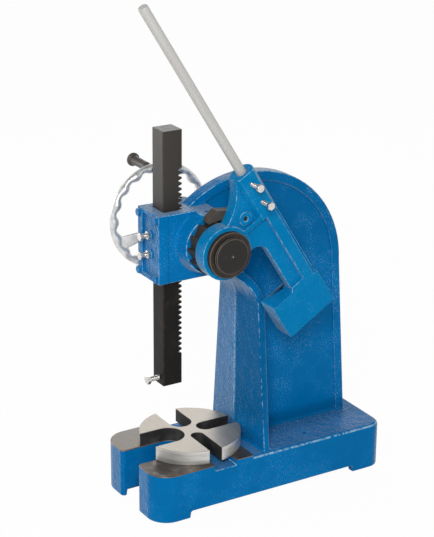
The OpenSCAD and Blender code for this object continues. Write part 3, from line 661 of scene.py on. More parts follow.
@dataclass(frozen=True)
class BlackOxide(Finish):
    """Blackened steel with a trace of oil, paler and with a thin clear coat towards a height if
    one is given.
    """

    name: str
    colour: Colour
    brown: Colour = (0.055, 0.036, 0.022)
    dry: Colour = (0.105, 0.093, 0.080)
    steel: Colour = (0.20, 0.185, 0.165)
    roughness: float = 0.34
    spread: float = 0.14
    tint: float = 0.5
    way: Way = Way.ALONG_Z
    grain: float = 700.0
    rings: float = 520.0
    streak: float = 0.6
    pale: float = 1.7
    marks: float = 0.00006
    gloss: float = 0.14
    worn: float = 0.0
    upper_share: float = 0.35
    film: float = 0.27
    film_rough: float = 0.35
    rings_at: Optional[Place] = None
    upper_from: Optional[Span] = None

    def write(self) -> bpy.types.Material:
        """Writes black steel with cutter marks and brown bloom at the edges.

        Returns:
            The material.
        """
        w = MaterialWriter(self.name)
        if self.rings_at is None:
            grain = w.group("machined_grain", Way=self.way.value, Scale=self.grain)
        else:
            grain = w.group("turned_rings", Vector=w.centred(self.rings_at), Scale=self.rings)
        tint = w.group("oil_tint", Amount=self.tint)["Mask"]
        streak = w.times(grain["Value"], self.streak)
        tone = w.mix(streak, self.colour, scaled(self.colour, self.pale))
        # Above the given heights the steel turns paler and takes a thin clear coat.
        if self.upper_from is not None:
            dry = w.ramp(w.parts(w.place)[2], *self.upper_from)
            tone = w.mix(w.times(dry, self.upper_share), tone, self.dry)
            w.finish(Coat_Weight=w.times(dry, self.film), Coat_Roughness=self.film_rough)
        if self.worn > 0.0:
            tone = w.mix(w.group("edge_wear", Amount=self.worn)["Mask"], tone, self.steel)
        rough = w.plus(self.roughness, w.times(grain["Value"], self.spread))
        w.bump(grain["Height"], self.marks)
        tone = w.mix(tint, tone, self.brown)
        return w.finish(Base_Color=tone, Roughness=rough, Specular_IOR_Level=self.gloss)


@dataclass(frozen=True)
class MachinedIron(Finish):
    """Ground or turned grey iron, left bare, with a patchy painted shadow round a place if one is
    given.
    """

    name: str
    colour: Colour
    dark: Colour
    rust: Colour = (0.30, 0.17, 0.09)
    roughness: float = 0.36
    spread: float = 0.12
    way: Way = Way.ALONG_X
    scale: float = 800.0
    marks: float = 0.00005
    metal: float = 0.75
    tint: float = 0.15
    # Centre and reach of the patchy painted shadow.
    spot_at: Optional[Place] = None
    spot_r: Span = (0.17, 0.09)
    shadow_dark: float = 0.42
    shadow_scale: float = 40.0
    shadow_patches: Span = (0.2, 0.5)

    def write(self) -> bpy.types.Material:
        """Writes bare iron with cutter streaks and a brown cast at the edges.

        Returns:
            The material.
        """
        w = MaterialWriter(self.name)
        grain = w.group("machined_grain", Way=self.way.value, Scale=self.scale)
        tint = w.group("oil_tint", Amount=self.tint)["Mask"]
        tone = w.mix(grain["Value"], self.dark, self.colour)
        # Patchy painted shadow round the given place.
        if self.spot_at is not None:
            away = {0: w.centred(self.spot_at)}
            reach = w.add("ShaderNodeVectorMath", away, operation="LENGTH").outputs["Value"]
            patches = w.ramp(w.noise(w.place, self.shadow_scale, 4.0), *self.shadow_patches)
            plate_shadow = w.times(w.ramp(reach, *self.spot_r), patches)
            tone = w.mix(plate_shadow, tone, scaled(self.dark, self.shadow_dark))
        rough = w.plus(self.roughness, w.times(grain["Value"], self.spread))
        w.bump(grain["Height"], self.marks)
        tone = w.mix(tint, tone, self.rust)
        return w.finish(Base_Color=tone, Roughness=rough, Metallic=self.metal)


@dataclass(frozen=True)
class RoughIron(Finish):
    """The dark as-cast skin inside the plate's slots."""

    name: str
    colour: Colour = (0.012, 0.0115, 0.011)
    pale: Colour = (0.055, 0.053, 0.050)
    peel: float = 520.0
    swell: float = 120.0
    relief: float = 0.0012
    patches: Span = (0.4, 0.75)
    roughness: float = 0.75
    metal: float = 0.1

    def write(self) -> bpy.types.Material:
        """Writes a dark and grainy casting skin.

        Returns:
            The material.
        """
        w = MaterialWriter(self.name)
        skin = w.group("cast_skin", Peel=self.peel, Swell=self.swell)
        w.bump(skin["Height"], self.relief)
        tone = w.mix(w.ramp(skin["Mottle"], *self.patches), self.colour, self.pale)
        return w.finish(Base_Color=tone, Roughness=self.roughness, Metallic=self.metal)


@dataclass(frozen=True)
class BrightSteel(Finish):
    """Plated, drawn or polished steel, whose grain is turned with a leaning piece."""

    name: str
    colour: Colour
    dark: Colour
    roughness: float
    spread: float = 0.15
    way: Way = Way.ALL
    scale: float = 500.0
    relief: float = 0.00004
    metal: float = 1.0
    lean: float = 0.0
    tint: float = 0.2
    bloom: float = 60.0
    stain: float = 0.4
    stain_dark: float = 0.75

    def write(self) -> bpy.types.Material:
        """Writes bright metal with fine marks and a faint stain.

        Returns:
            The material.
        """
        w = MaterialWriter(self.name)
        if self.lean:
            upright = {"Vector": w.place, "Rotation": (-self.lean, 0.0, 0.0)}
            w.place = w.out("ShaderNodeMapping", upright)
        grain = w.group("machined_grain", Way=self.way.value, Scale=self.scale)
        tint = w.group("oil_tint", Amount=self.tint, Scale=self.bloom)["Mask"]
        tone = w.mix(grain["Value"], self.dark, self.colour)
        rough = w.plus(self.roughness, w.times(grain["Value"], self.spread))
        w.bump(grain["Height"], self.relief)
        tone = w.mix(w.times(tint, self.stain), tone, scaled(self.dark, self.stain_dark))
        return w.finish(Base_Color=tone, Roughness=rough, Metallic=self.metal)


@dataclass(frozen=True)
class MouldedGrip(Finish):
    """Black moulded plastic with a dull sheen."""

    name: str
    colour: Colour = (0.040, 0.034, 0.030)
    pale: Colour = (0.075, 0.064, 0.055)
    peel: float = 1500.0
    swell: float = 200.0
    roughness: float = 0.36
    spread: float = 0.15
    relief: float = 0.00012

    def write(self) -> bpy.types.Material:
        """Writes black plastic with a fine moulded grain.

        Returns:
            The material.
        """
        w = MaterialWriter(self.name)
        skin = w.group("cast_skin", Peel=self.peel, Swell=self.swell)
        w.bump(skin["Height"], self.relief)
        tone = w.mix(skin["Mottle"], self.colour, self.pale)
        rough = w.plus(self.roughness, w.times(skin["Mottle"], self.spread))
        return w.finish(Base_Color=tone, Roughness=rough)


FRAME_ENAMEL = FrameEnamel("frame_enamel", (0.0, 0.182, 0.470), (0.0, 0.154, 0.410))
LEVER_ENAMEL = CastEnamel(
    "lever_enamel", (0.0, 0.208, 0.475), (0.0, 0.188, 0.440), roughness=0.20, relief=0.0015,
    glint_strength=0.75,
)
# The seat's patchy painted shadow lies beside the plate, on the right seat.
SEAT_IRON = MachinedIron(
    "seat_iron", (0.245, 0.225, 0.20), (0.165, 0.15, 0.135), tint=0.55, way=Way.ALL,
    spot_at=(0.10, -0.31, SEAT_Z),
)
PLATE_IRON = MachinedIron("plate_iron", (0.485, 0.445, 0.39), (0.375, 0.34, 0.295))
RIM_IRON = MachinedIron(
    "rim_iron", (0.70, 0.69, 0.665), (0.50, 0.49, 0.47), roughness=0.32, way=Way.LEVEL, tint=0.0
)
SLOT_IRON = RoughIron("slot_iron")
RAM_BLACK = BlackOxide(
    "ram_black", (0.0075, 0.0070, 0.0065), tint=0.35, gloss=0.095, worn=0.40,
    upper_from=(0.60, 0.76),
)
PAWL_BLACK = BlackOxide(
    "pawl_black", (0.062, 0.053, 0.046), (0.11, 0.08, 0.055), tint=0.6, way=Way.ALL
)
RATCHET_BLACK = BlackOxide(
    "ratchet_black", (0.030, 0.026, 0.022), tint=0.9, way=Way.ALONG_X, worn=0.45
)
TURNED_BLACK = BlackOxide(
    "turned_black", (0.014, 0.013, 0.012), tint=0.2, marks=0.0003, gloss=0.20, worn=0.50,
    rings_at=tuple(PINION),
)
COLLAR_BLACK = BlackOxide(
    "collar_black", (0.022, 0.018, 0.015), (0.13, 0.082, 0.05), tint=0.45, marks=0.0003,
    gloss=0.18, worn=0.55, steel=(0.24, 0.17, 0.12), rings_at=tuple(PINION),
)
PLATED = BrightSteel("plated_steel", (0.78, 0.76, 0.73), (0.58, 0.56, 0.53), 0.22)
BAR = BrightSteel(
    "bar_steel", (0.55, 0.54, 0.515), (0.475, 0.465, 0.445), 0.40, spread=0.06, way=Way.ALONG_Z,
    scale=110.0, relief=0.00001, metal=0.18, lean=LEVER_LEAN,
)
MARK_STEEL = BrightSteel("mark_steel", (0.20, 0.19, 0.175), (0.06, 0.055, 0.05), 0.30)
CHROME = BrightSteel(
    "wheel_chrome", (0.82, 0.82, 0.81), (0.50, 0.50, 0.495), 0.30, spread=0.08, scale=60.0,
    metal=0.6,
)
GRIP = MouldedGrip("grip_black")


@dataclass(frozen=True)
class EdgeRound:
    """How the edges of a copied node are rounded.

    The width is for outer edges, the hollow for inner ones, and the crisp width for the outer
    edges of bare faces, whose material number is above 0. Edges in the plane of the seam are only
    broken, and those in the plane of the crease keep a sharp line though they are blunt.
    """

    width: float
    segments: int = 3
    hollow: float = 0.0
    crisp: Optional[float] = None
    angle: float = math.radians(26.0)
    seam_y: Optional[float] = None
    seam: float = 0.5 * MM
    crease_x: Optional[float] = None


class EdgeSoftener:
    """Rounds the sharp edges of one mesh, each only where there is room for it."""

    folded: float = math.radians(150.0)
    tries: int = 10
    snap: float = 0.2 * MM
    short: float = 0.4
    clear: float = 1.2

    def __init__(self, form: bmesh.types.BMesh, rounding: EdgeRound) -> None:
        """Keeps the mesh.

        Args:
            form: the merged mesh.
            rounding: the widths.
        """
        self.form = form
        self.rounding = rounding
        self.soft = form.faces.layers.int.new("soft")
        self.edge = form.loops.layers.float.new(EDGE)

    def lies(self, edge: bmesh.types.BMEdge, axis: int, place: Optional[float]) -> bool:
        """Tells whether an edge lies in the plane across an axis, if there is one."""
        ends = [v.co[axis] for v in edge.verts]
        return place is not None and all(abs(end - place) < self.snap for end in ends)

    def sharp(
        self, outer: bool, bare: Optional[bool] = None, seam: bool = False
    ) -> list[bmesh.types.BMEdge]:
        """Lists the sharp edges that no rounding has touched.

        Args:
            outer: takes outer edges, or else inner ones.
            bare: takes only the edges with or without a bare face.
            seam: takes the seam's edges, or else all others.

        Returns:
            The edges.
        """
        found = []
        for edge in self.form.edges:
            sides = edge.link_faces
            if len(sides) != 2 or edge.is_convex != outer:
                continue
            if edge.calc_face_angle() < self.rounding.angle:
                continue
            if self.lies(edge, 1, self.rounding.seam_y) != seam:
                continue
            on_bare = any(face.material_index > 0 for face in sides)
            if not any(face[self.soft] for face in sides) and bare in (None, on_bare):
                found.append(edge)
        return found

    def bevel(
        self, form: bmesh.types.BMesh, edges: Sequence[bmesh.types.BMEdge], width: float
    ) -> list[bmesh.types.BMFace]:
        """Bevels edges of a mesh.

        Args:
            form: the mesh.
            edges: its edges.
            width: the bevel's width.

        Returns:
            The new faces.
        """
        made = bmesh.ops.bevel(
            form, geom=list(edges), offset=width, offset_type="OFFSET",
            segments=self.rounding.segments, profile=0.5, affect="EDGES", clamp_overlap=False,
            loop_slide=True,
        )
        return made["faces"]

    @staticmethod
    def gap(edge: bmesh.types.BMEdge, place: Vector) -> float:
        """Gives the distance from an edge to a place.

        Args:
            edge: the edge.
            place: the place.

        Returns:
            The distance.
        """
        start, end = (v.co for v in edge.verts)
        along = end - start
        share = min(1.0, max(0.0, (place - start).dot(along) / along.length_squared))
        return (start + share * along - place).length

    def round(self, edges: Sequence[bmesh.types.BMEdge], width: float, mark: int = 1) -> None:
        """Rounds the edges that have room, and leaves those where the faces would fold over.

        Args:
            edges: the edges.
            width: the rounding's width.
            mark: what the new faces are marked with.
        """
        left = [edge for edge in edges if edge.calc_length() > self.short * width]
        room = self.clear * width
        self.form.edges.index_update()
        for _ in range(self.tries):
            trial = self.form.copy()
            trial.edges.ensure_lookup_table()
            self.bevel(trial, [trial.edges[edge.index] for edge in left], width)
            bad = [
                (e.verts[0].co + e.verts[1].co) / 2 for e in trial.edges
                if len(e.link_faces) == 2 and e.calc_face_angle() > self.folded
            ]
            trial.free()
            if not bad:
                break
            left = [edge for edge in left if all(self.gap(edge, place) > room for place in bad)]
        if left:
            for face in self.bevel(self.form, left, width):
                face[self.soft] = mark

    def run(self) -> None:
        """Rounds inner edges, then outer ones, what was left, the seam and bare faces' edges."""
        size = self.rounding
        if size.hollow > 0.0:
            self.round(self.sharp(False), size.hollow, mark=0)
        bare = None if size.crisp is None else False
        self.round(self.sharp(True, bare), size.width)
        self.round(self.sharp(True, bare), size.width / 4)
        if size.seam_y is not None:
            self.round(self.sharp(True, None, True), size.seam, mark=0)
        if size.crisp is not None:
            self.round(self.sharp(True, True), size.crisp, mark=2)
            for face in self.form.faces:
                if face[self.soft] == 2:
                    face.material_index = 1

    def mark(self, chafed: Optional[FaceTest]) -> None:
        """Writes 1 along the rounded edges into the corner attribute, and keeps the crease.

        Args:
            chafed: finds other faces that count as a rounded edge.
        """
        for edge in self.form.edges:
            edge.smooth = not self.lies(edge, 0, self.rounding.crease_x)
        for face in self.form.faces:
            rubbed = chafed is not None and chafed(face.calc_center_median(), face.normal)
            for loop in face.loops:
                around = loop.vert.link_faces
                inside = face[self.soft] and all(other[self.soft] for other in around)
                loop[self.edge] = 1.0 if inside or rubbed else 0.0


def linked(name: str, data: Any) -> bpy.types.Object:
    """Makes an object of the scene.

    Args:
        name: the object's name.
        data: its mesh, camera or lamp.

    Returns:
        The object.
    """
    item = bpy.data.objects.new(name, data)
    bpy.context.scene.collection.objects.link(item)
    return item


def plain(holder: bpy.types.Object) -> Mesh:
    """Turns an object with modifiers into one plain mesh and removes the object.

    Args:
        holder: the object.

    Returns:
        The evaluated mesh.
    """
    bpy.context.view_layer.update()
    graph = bpy.context.evaluated_depsgraph_get()
    mesh = bpy.data.meshes.new_from_object(holder.evaluated_get(graph), depsgraph=graph)
    bpy.data.objects.remove(holder)
    return mesh


def weighted(mesh: Mesh) -> Mesh:
    """Gives a mesh normals that follow its large faces.

    Args:
        mesh: the mesh, all smooth.

    Returns:
        A plain mesh with its own normals.
    """
    holder = linked("holder", mesh)
    modifier = holder.modifiers.new("weights", "WEIGHTED_NORMAL")
    modifier.mode = "FACE_AREA"
    modifier.weight = 80
    modifier.keep_sharp = True
    return plain(holder)


def poured(form: bmesh.types.BMesh, name: str) -> Mesh:
    """Pours a working mesh into a new mesh and frees it.

    Args:
        form: the working mesh.
        name: the new mesh's name.

    Returns:
        The new mesh.
    """
    mesh = bpy.data.meshes.new(name)
    form.to_mesh(mesh)
    form.free()
    return mesh


def rounded_copy(
    node: str, rounding: EdgeRound, pick: Optional[FacePick], chafed: Optional[FaceTest]
) -> Mesh:
    """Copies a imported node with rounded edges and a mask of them.

    Args:
        node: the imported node's name.
        rounding: widths and steps of the rounding.
        pick: gives a face's material number from its middle and its normal.
        chafed: finds other faces that count as a rounded edge.

    Returns:
        A mesh whose corner attribute "edge" is 1 along the rounded edges.
    """
    form = bmesh.new()
    form.from_mesh(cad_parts[node].data)
    bmesh.ops.remove_doubles(form, verts=form.verts, dist=1e-6)
    bmesh.ops.dissolve_limit(
        form, angle_limit=math.radians(0.6), use_dissolve_boundaries=False, verts=form.verts,
        edges=form.edges,
    )
    for face in form.faces:
        face.material_index = pick(face.calc_center_median(), face.normal) if pick else 0
    softener = EdgeSoftener(form, rounding)
    softener.run()
    softener.mark(chafed)
    form.faces.layers.int.remove(softener.soft)
    for face in form.faces:
        face.smooth = True
    return weighted(poured(form, node + "_copy"))


@dataclass(frozen=True)
class Piece:
    """One finished piece: its name, what it moves with, its slot and the nodes it stands for."""

    name: str
    body: Body
    slot: Slot
    nodes: tuple[str, ...] = ()

    def place(self, mesh: Mesh, *finishes: Finish) -> None:
        """Makes the object, dresses it and joins it to its body.

        Args:
            mesh: the finished mesh, in the shared frame.
            finishes: one for each material number, unless the mesh is dressed already.
        """
        if not mesh.materials:
            for finish in finishes:
                mesh.materials.append(finish.material())
        piece = linked(self.name, mesh)
        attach(piece, self.body.value)
        if self.nodes:
            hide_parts(*self.nodes)
        LOG.info("%s: %d faces on %s", self.name, len(mesh.polygons), self.body.value)


@dataclass(frozen=True)
class NodeCopy:
    """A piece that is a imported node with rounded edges."""

    node: str
    suffix: str
    body: Body
    slot: Slot
    rounding: EdgeRound
    pick: Optional[FacePick] = None
    chafed: Optional[FaceTest] = None

    def place(self, *finishes: Finish) -> None:
        """Builds the copy and places it.

        Args:
            finishes: one for each material number.
        """
        piece = Piece(f"{self.node}_{self.suffix}", self.body, self.slot, (self.node,))
        mesh = rounded_copy(self.node, self.rounding, self.pick, self.chafed)
        piece.place(mesh, *finishes)


class GeometryKit(NodeKit):
    """The geometry trees that repeat a shape or sweep it along a path."""

    kind = "GeometryNodeTree"

    @classmethod
    def begin_shape(cls, name: str, *ins: Plug) -> tuple[TreeWriter, Any, Any]:
        """Opens a tree that takes and gives a geometry, and takes a material.

        Args:
            name: the tree's name.
            ins: its other inputs.

        Returns:
            The writer, the sockets that give the tree's inputs and those that take its outputs.
        """
        shape = Plug("Geometry", "NodeSocketGeometry")
        w, i, o = cls.begin(name, [shape, *ins, Plug("Material", "NodeSocketMaterial")], [shape])
        w.tree.is_modifier = True
        return w, i, o

    @classmethod
    def close(cls, w: TreeWriter, i: Any, o: Any, shape: Socket) -> bpy.types.NodeTree:
        """Ends a tree in real geometry with one material.

        Args:
            w: the tree's writer.
            i: its input sockets.
            o: its output sockets.
            shape: the geometry so far.

        Returns:
            The tree.
        """
        real = w.out("GeometryNodeRealizeInstances", {"Geometry": shape})
        both = {"Geometry": real, "Material": i["Material"]}
        w.put(w.out("GeometryNodeSetMaterial", both), o[0])
        return w.tree

    @classmethod
    def run(cls, name: str, mesh: Mesh, finish: Finish, **values: Any) -> Mesh:
        """Runs a tree on a mesh.

        Args:
            name: hex_bolts, wavy_rim or spoke_ring.
            mesh: what the tree reads.
            finish: the result's finish.
            values: the tree's inputs.

        Returns:
            A plain mesh.
        """
        tree = cls.get(name)
        holder = linked("holder", mesh)
        modifier = holder.modifiers.new(name, "NODES")
        modifier.node_group = tree
        values["Material"] = finish.material()
        for item in tree.interface.items_tree:
            if item.item_type == "SOCKET" and item.in_out == "INPUT" and item.name in values:
                modifier[item.identifier] = values[item.name]
        return plain(holder)

    @classmethod
    def hex_bolts(cls) -> bpy.types.NodeTree:
        """Builds chamfered hexagon bolts with a rolled thread, one on each point.

        Returns:
            The tree.
        """
        w, i, o = cls.begin_shape(
            "hex_bolts", Plug("Flats"), Plug("Head"), Plug("Radius"), Plug("Length"),
            Plug("Pitch"), Plug("Turn", VECTOR),
        )
        high, length, pitch = i["Head"], i["Length"], i["Pitch"]
        crown = w.times(i["Flats"], 0.475)
        skirt = w.plus(crown, w.times(high, math.sqrt(3.0)))
        corner = w.times(i["Flats"], 1.0 / math.sqrt(3.0))
        sizes = {"Vertices": 6, "Radius": corner, "Depth": high}
        prism = w.out("GeometryNodeMeshCylinder", sizes)
        sizes = {"Vertices": 48, "Radius Top": crown, "Radius Bottom": skirt, "Depth": high}
        cone = w.out("GeometryNodeMeshCone", sizes)
        head = w.add("GeometryNodeMeshBoolean", operation="INTERSECT", solver="EXACT")
        w.put(w.moved(prism, w.rise(w.times(high, 0.5))), head.inputs[1])
        w.put(cone, head.inputs[1])

        core_r = w.math("SUBTRACT", i["Radius"], w.times(pitch, 0.45))
        sizes = {"Vertices": 32, "Radius": core_r, "Depth": length}
        core = w.out("GeometryNodeMeshCylinder", sizes)
        shank = w.moved(core, w.rise(w.times(length, -0.5)))
        turns = w.math("DIVIDE", length, pitch)
        thread_r = w.math("SUBTRACT", i["Radius"], w.times(pitch, 0.4))
        sizes = {
            "Resolution": 28, "Rotations": turns, "Start Radius": thread_r,
            "End Radius": thread_r, "Height": length,
        }
        spiral = w.out("GeometryNodeCurveSpiral", sizes)
        sizes = {"Resolution": 4, "Radius": w.times(pitch, 0.42)}
        ridge = w.out("GeometryNodeCurvePrimitiveCircle", sizes)
        swept = {"Curve": spiral, "Profile Curve": ridge, "Fill Caps": True}
        sweep = w.out("GeometryNodeCurveToMesh", swept)
        thread = w.moved(sweep, w.rise(w.times(length, -1.0)))

        bolt = w.join(head.outputs[0], w.smooth(w.join(shank, thread)))
        turn = w.out("FunctionNodeEulerToRotation", {0: i["Turn"]})
        points = w.out("GeometryNodeMeshToPoints", {"Mesh": i["Geometry"]})
        laid = {"Points": points, "Instance": bolt, "Rotation": turn}
        return cls.close(w, i, o, w.out("GeometryNodeInstanceOnPoints", laid))

    @classmethod
    def wavy_rim(cls) -> bpy.types.NodeTree:
        """Builds a hand rim with a smooth outside and finger waves inside.

        Returns:
            The tree.
        """
        w, i, o = cls.begin_shape(
            "wavy_rim", Plug("Outer"), Plug("Tube"), Plug("Depth"), Plug("Waves"),
            Plug("Place", VECTOR), Plug("Turn", VECTOR),
        )
        sizes = {"Resolution": 360, "Radius": i["Outer"]}
        ring = w.out("GeometryNodeCurvePrimitiveCircle", sizes)
        spot = w.out("GeometryNodeInputPosition")
        x, y, _ = w.parts(spot)
        turn = w.times(w.math("ARCTAN2", y, x), w.times(i["Waves"], 0.5))
        wave = w.math("POWER", w.size(w.math("COSINE", turn)), 2.6)
        dip = w.times(w.math("SUBTRACT", wave, 1.0), w.times(i["Depth"], 0.5))
        tube = w.plus(i["Tube"], dip)
        share = w.math("DIVIDE", w.math("SUBTRACT", i["Outer"], tube), i["Outer"])
        moved = w.out("ShaderNodeVectorMath", {0: spot, "Scale": share}, operation="SCALE")
        sized = w.out("GeometryNodeSetCurveRadius", {"Curve": ring, "Radius": tube})
        path = w.out("GeometryNodeSetPosition", {"Geometry": sized, "Position": moved})
        loop = w.out("GeometryNodeCurvePrimitiveCircle", {"Resolution": 24, "Radius": 1.0})
        thick = w.out("GeometryNodeInputRadius")
        swept = {"Curve": path, "Profile Curve": loop, "Scale": thick}
        rim = w.smooth(w.out("GeometryNodeCurveToMesh", swept))
        return cls.close(w, i, o, w.moved(rim, i["Place"], Rotation=i["Turn"]))

    @classmethod
    def spoke_ring(cls) -> bpy.types.NodeTree:
        """Repeats a spoke round the Z axis, then sets the ring in its place.

        Returns:
            The tree.
        """
        w, i, o = cls.begin_shape(
            "spoke_ring", Plug("Count", "NodeSocketInt"), Plug("First"), Plug("Place", VECTOR),
            Plug("Turn", VECTOR),
        )
        sizes = {"Count": i["Count"], "Offset": (0.0, 0.0, 0.0)}
        points = w.out("GeometryNodeMeshLine", sizes)
        step = w.math("DIVIDE", 2.0 * math.pi, i["Count"])
        angle = w.plus(i["First"], w.times(w.out("GeometryNodeInputIndex"), step))
        turn = w.out("FunctionNodeEulerToRotation", {0: w.rise(angle)})
        laid = {"Points": points, "Instance": i["Geometry"], "Rotation": turn}
        many = w.out("GeometryNodeInstanceOnPoints", laid)
        return cls.close(w, i, o, w.moved(many, i["Place"], Rotation=i["Turn"]))


def dots(places: Sequence[Vector]) -> Mesh:
    """Makes a mesh of single points.

    Args:
        places: where the points are.

    Returns:
        The mesh.
    """
    mesh = bpy.data.meshes.new("dots")
    mesh.from_pydata([tuple(p) for p in places], [], [])
    return mesh


@dataclass(frozen=True)
class HexScrews:
    """The sizes of a set of equal hexagon screws."""

    flats: float
    head: float
    radius: float
    length: float
    pitch: float = 1.5 * MM
    facing: Facing = Facing.FRONT

    def place(
        self, node: str, body: Body, slot: Slot, finish: Finish, seats: Sequence[Vector]
    ) -> None:
        """Builds one screw on each seat, all in one piece.

        Args:
            node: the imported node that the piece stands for.
            body: what it moves with.
            slot: the record's material slot.
            finish: its finish.
            seats: where the heads rest.
        """
        mesh = GeometryKit.run(
            "hex_bolts", dots(seats), finish, Flats=self.flats, Head=self.head,
            Radius=self.radius, Length=self.length, Pitch=self.pitch, Turn=self.facing.value,
        )
        Piece(f"{node}_hex", body, slot, (node,)).place(mesh, finish)


def lathe(profile: Sequence[Span], foot: Vector, out: Vector, steps: int = 64) -> Mesh:
    """Turns a closed profile round an axis.

    Args:
        profile: distances along the axis and from it, round the section.
        foot: where the axis starts.
        out: the axis' direction.
        steps: facets round the axis.

    Returns:
        A smooth closed mesh.
    """
    turn = out.to_track_quat("Z", "Y").to_matrix()
    form = bmesh.new()
    rings = []
    for k in range(steps):
        a = 2.0 * math.pi * k / steps
        spots = [Vector((r * math.cos(a), r * math.sin(a), h)) for h, r in profile]
        rings.append([form.verts.new(foot + turn @ spot) for spot in spots])
    count = len(profile)
    for k, ring in enumerate(rings):
        after = rings[(k + 1) % steps]
        for j in range(count):
            n = (j + 1) % count
            form.faces.new((ring[j], after[j], after[n], ring[n]))
    bmesh.ops.remove_doubles(form, verts=form.verts, dist=1e-7)
    bmesh.ops.recalc_face_normals(form, faces=form.faces)
    for face in form.faces:
        face.smooth = True
    return poured(form, "turned")


def at_lever(across: float, along: float, x: float) -> Vector:
    """Turns metres across to the bar and along it, from the hub's axis, into a place at x."""
    c, s = math.cos(LEVER_LEAN), math.sin(LEVER_LEAN)
    return Vector((x, PINION.y + across * c - along * s, PINION.z + across * s + along * c))


@dataclass
class FrameCasting:
    """The painted casting: base, column and head."""

    rounding: EdgeRound = EdgeRound(
        3.0 * MM, 3, hollow=5.0 * MM, crisp=2.0 * MM, angle=math.radians(35.0), seam_y=SEAM_Y,
        crease_x=0.0,
    )
    seat_tolerance: float = 0.6 * MM
    way_half: float = 24.4 * MM
    way_z: float = 0.5
    seat_slope: float = 0.9
    way_slope: float = 0.5
    # Where the strip lies that takes the pale line along the base's top edge, partly wear and
    # partly a painted highlight.
    chafed_z: Span = (0.104, 0.1105)
    chafed_slope: Span = (0.5, 0.9)
    spot_at: Vector = field(default_factory=lambda: Vector((0.0637, -0.2626, 0.701)))
    spot_r: float = 3.7 * MM
    oil_foot: float = -1.5 * MM
    oil_floor: float = 0.06 * MM
    oil_shoulder: float = 0.2 * MM
    oil_lip: float = 0.5 * MM
    oil_wall: tuple[float, float, float] = (1.4 * MM, 1.0 * MM, 0.5 * MM)
    oil_steps: int = 32

    def face(self, middle: Vector, normal: Vector) -> int:
        """Tells bare faces from painted ones.

        Args:
            middle: the face's middle.
            normal: its normal.

        Returns:
            1 for the machined seats and the ram's way, else 0.
        """
        if normal.z > self.seat_slope and abs(middle.z - SEAT_Z) < self.seat_tolerance:
            return 1
        beside = abs(middle.x) < self.way_half and middle.y < RAM_Y + self.way_half
        in_way = beside and middle.z > self.way_z
        return 1 if in_way and abs(normal.z) < self.way_slope else 0

    def chafed(self, middle: Vector, normal: Vector) -> bool:
        """Finds the middle strip of the rounding along the base's top edge, which takes the pale
        edge line, partly wear and partly a painted highlight.

        Args:
            middle: the face's middle.
            normal: its normal.

        Returns:
            True for the strip's faces.
        """
        low, high = self.chafed_z
        flat, steep = self.chafed_slope
        return low < middle.z < high and flat < normal.z < steep

    def build(self) -> None:
        """Builds and dresses the casting and the cup of its oil hole."""
        casting = NodeCopy(
            "frame_casting", "cast", Body.FRAME, Slot.FRAME_PAINT, self.rounding, self.face,
            self.chafed,
        )
        casting.place(FRAME_ENAMEL, SEAT_IRON)
        r, foot, floor, lip = self.spot_r, self.oil_foot, self.oil_floor, self.oil_lip
        outside, top, inside = (r + wall for wall in self.oil_wall)
        cup = [
            (foot, 0.0), (foot, outside), (self.oil_shoulder, outside), (lip, top),
            (lip, inside), (floor, r), (floor, 0.0),
        ]
        mesh = lathe(cup, self.spot_at, UP, self.oil_steps)
        # The cup's floor lies almost level with the top, and its near-black finish is painted
        # shade that stands for the depth of the hole.
        for face in mesh.polygons:
            inner = (face.center - self.spot_at).to_2d().length < r
            face.material_index = 1 if inner and face.normal.z > 0.5 else 0
        piece = Piece("oil_hole_cup", Body.FRAME, Slot.FRAME_PAINT)
        piece.place(mesh, FRAME_ENAMEL, SLOT_IRON)


@dataclass
class HeadCap:
    """The cap that closes the ram's way, its bolts and its gib screws."""

    rounding: EdgeRound = EdgeRound(1.4 * MM, 3, hollow=1.6 * MM, seam_y=SEAM_Y)
    bolts: HexScrews = HexScrews(16 * MM, 7 * MM, 5 * MM, 30 * MM)
    bolt_x: float = 0.0375
    bolt_y: float = -0.372
    bolt_z: Span = (0.555, 0.689)
    nuts: HexScrews = HexScrews(17 * MM, 6 * MM, 5 * MM, 4 * MM)
    nut_y: float = -0.370
    gib_z: Span = (0.602, 0.646)
    gib_flats: float = 17 * MM
    gib_head: float = 7 * MM
    gib_r: float = 5 * MM
    gib_y: float = -0.388

    def build(self) -> None:
        """Builds the cap and its screws."""
        cap = NodeCopy("head_cap", "cast", Body.FRAME, Slot.FRAME_PAINT, self.rounding)
        cap.place(FRAME_ENAMEL)
        corners = [
            Vector((side * self.bolt_x, self.bolt_y, z)) for side in (-1, 1) for z in self.bolt_z
        ]
        self.bolts.place("cap_bolts", Body.FRAME, Slot.FRAME_PAINT, FRAME_ENAMEL, corners)
        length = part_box("gib_screws")[1][1] - self.gib_y
        screws = HexScrews(self.gib_flats, self.gib_head, self.gib_r, length)
        rows = (("gib_lock_nuts", self.nuts, self.nut_y), ("gib_screws", screws, self.gib_y))
        for node, sizes, y in rows:
            seats = [Vector((0.0, y, z)) for z in self.gib_z]
            sizes.place(node, Body.FRAME, Slot.ZINC_STEEL, PLATED, seats)


@dataclass
class RamAndRack:
    """The square ram with its rack and its set screw."""

    rounding: EdgeRound = EdgeRound(0.9 * MM, 2)
    screw: HexScrews = HexScrews(19 * MM, 8 * MM, 6 * MM, 34 * MM, 1.75 * MM)
    screw_y: float = -0.371
    screw_z: float = 0.301

    def build(self) -> None:
        """Builds the ram and the set screw."""
        NodeCopy("ram", "black", Body.RAM, Slot.BLACK_STEEL, self.rounding).place(RAM_BLACK)
        seats = [Vector((0.0, self.screw_y, self.screw_z))]
        self.screw.place("ram_set_screw", Body.RAM, Slot.ZINC_STEEL, PLATED, seats)


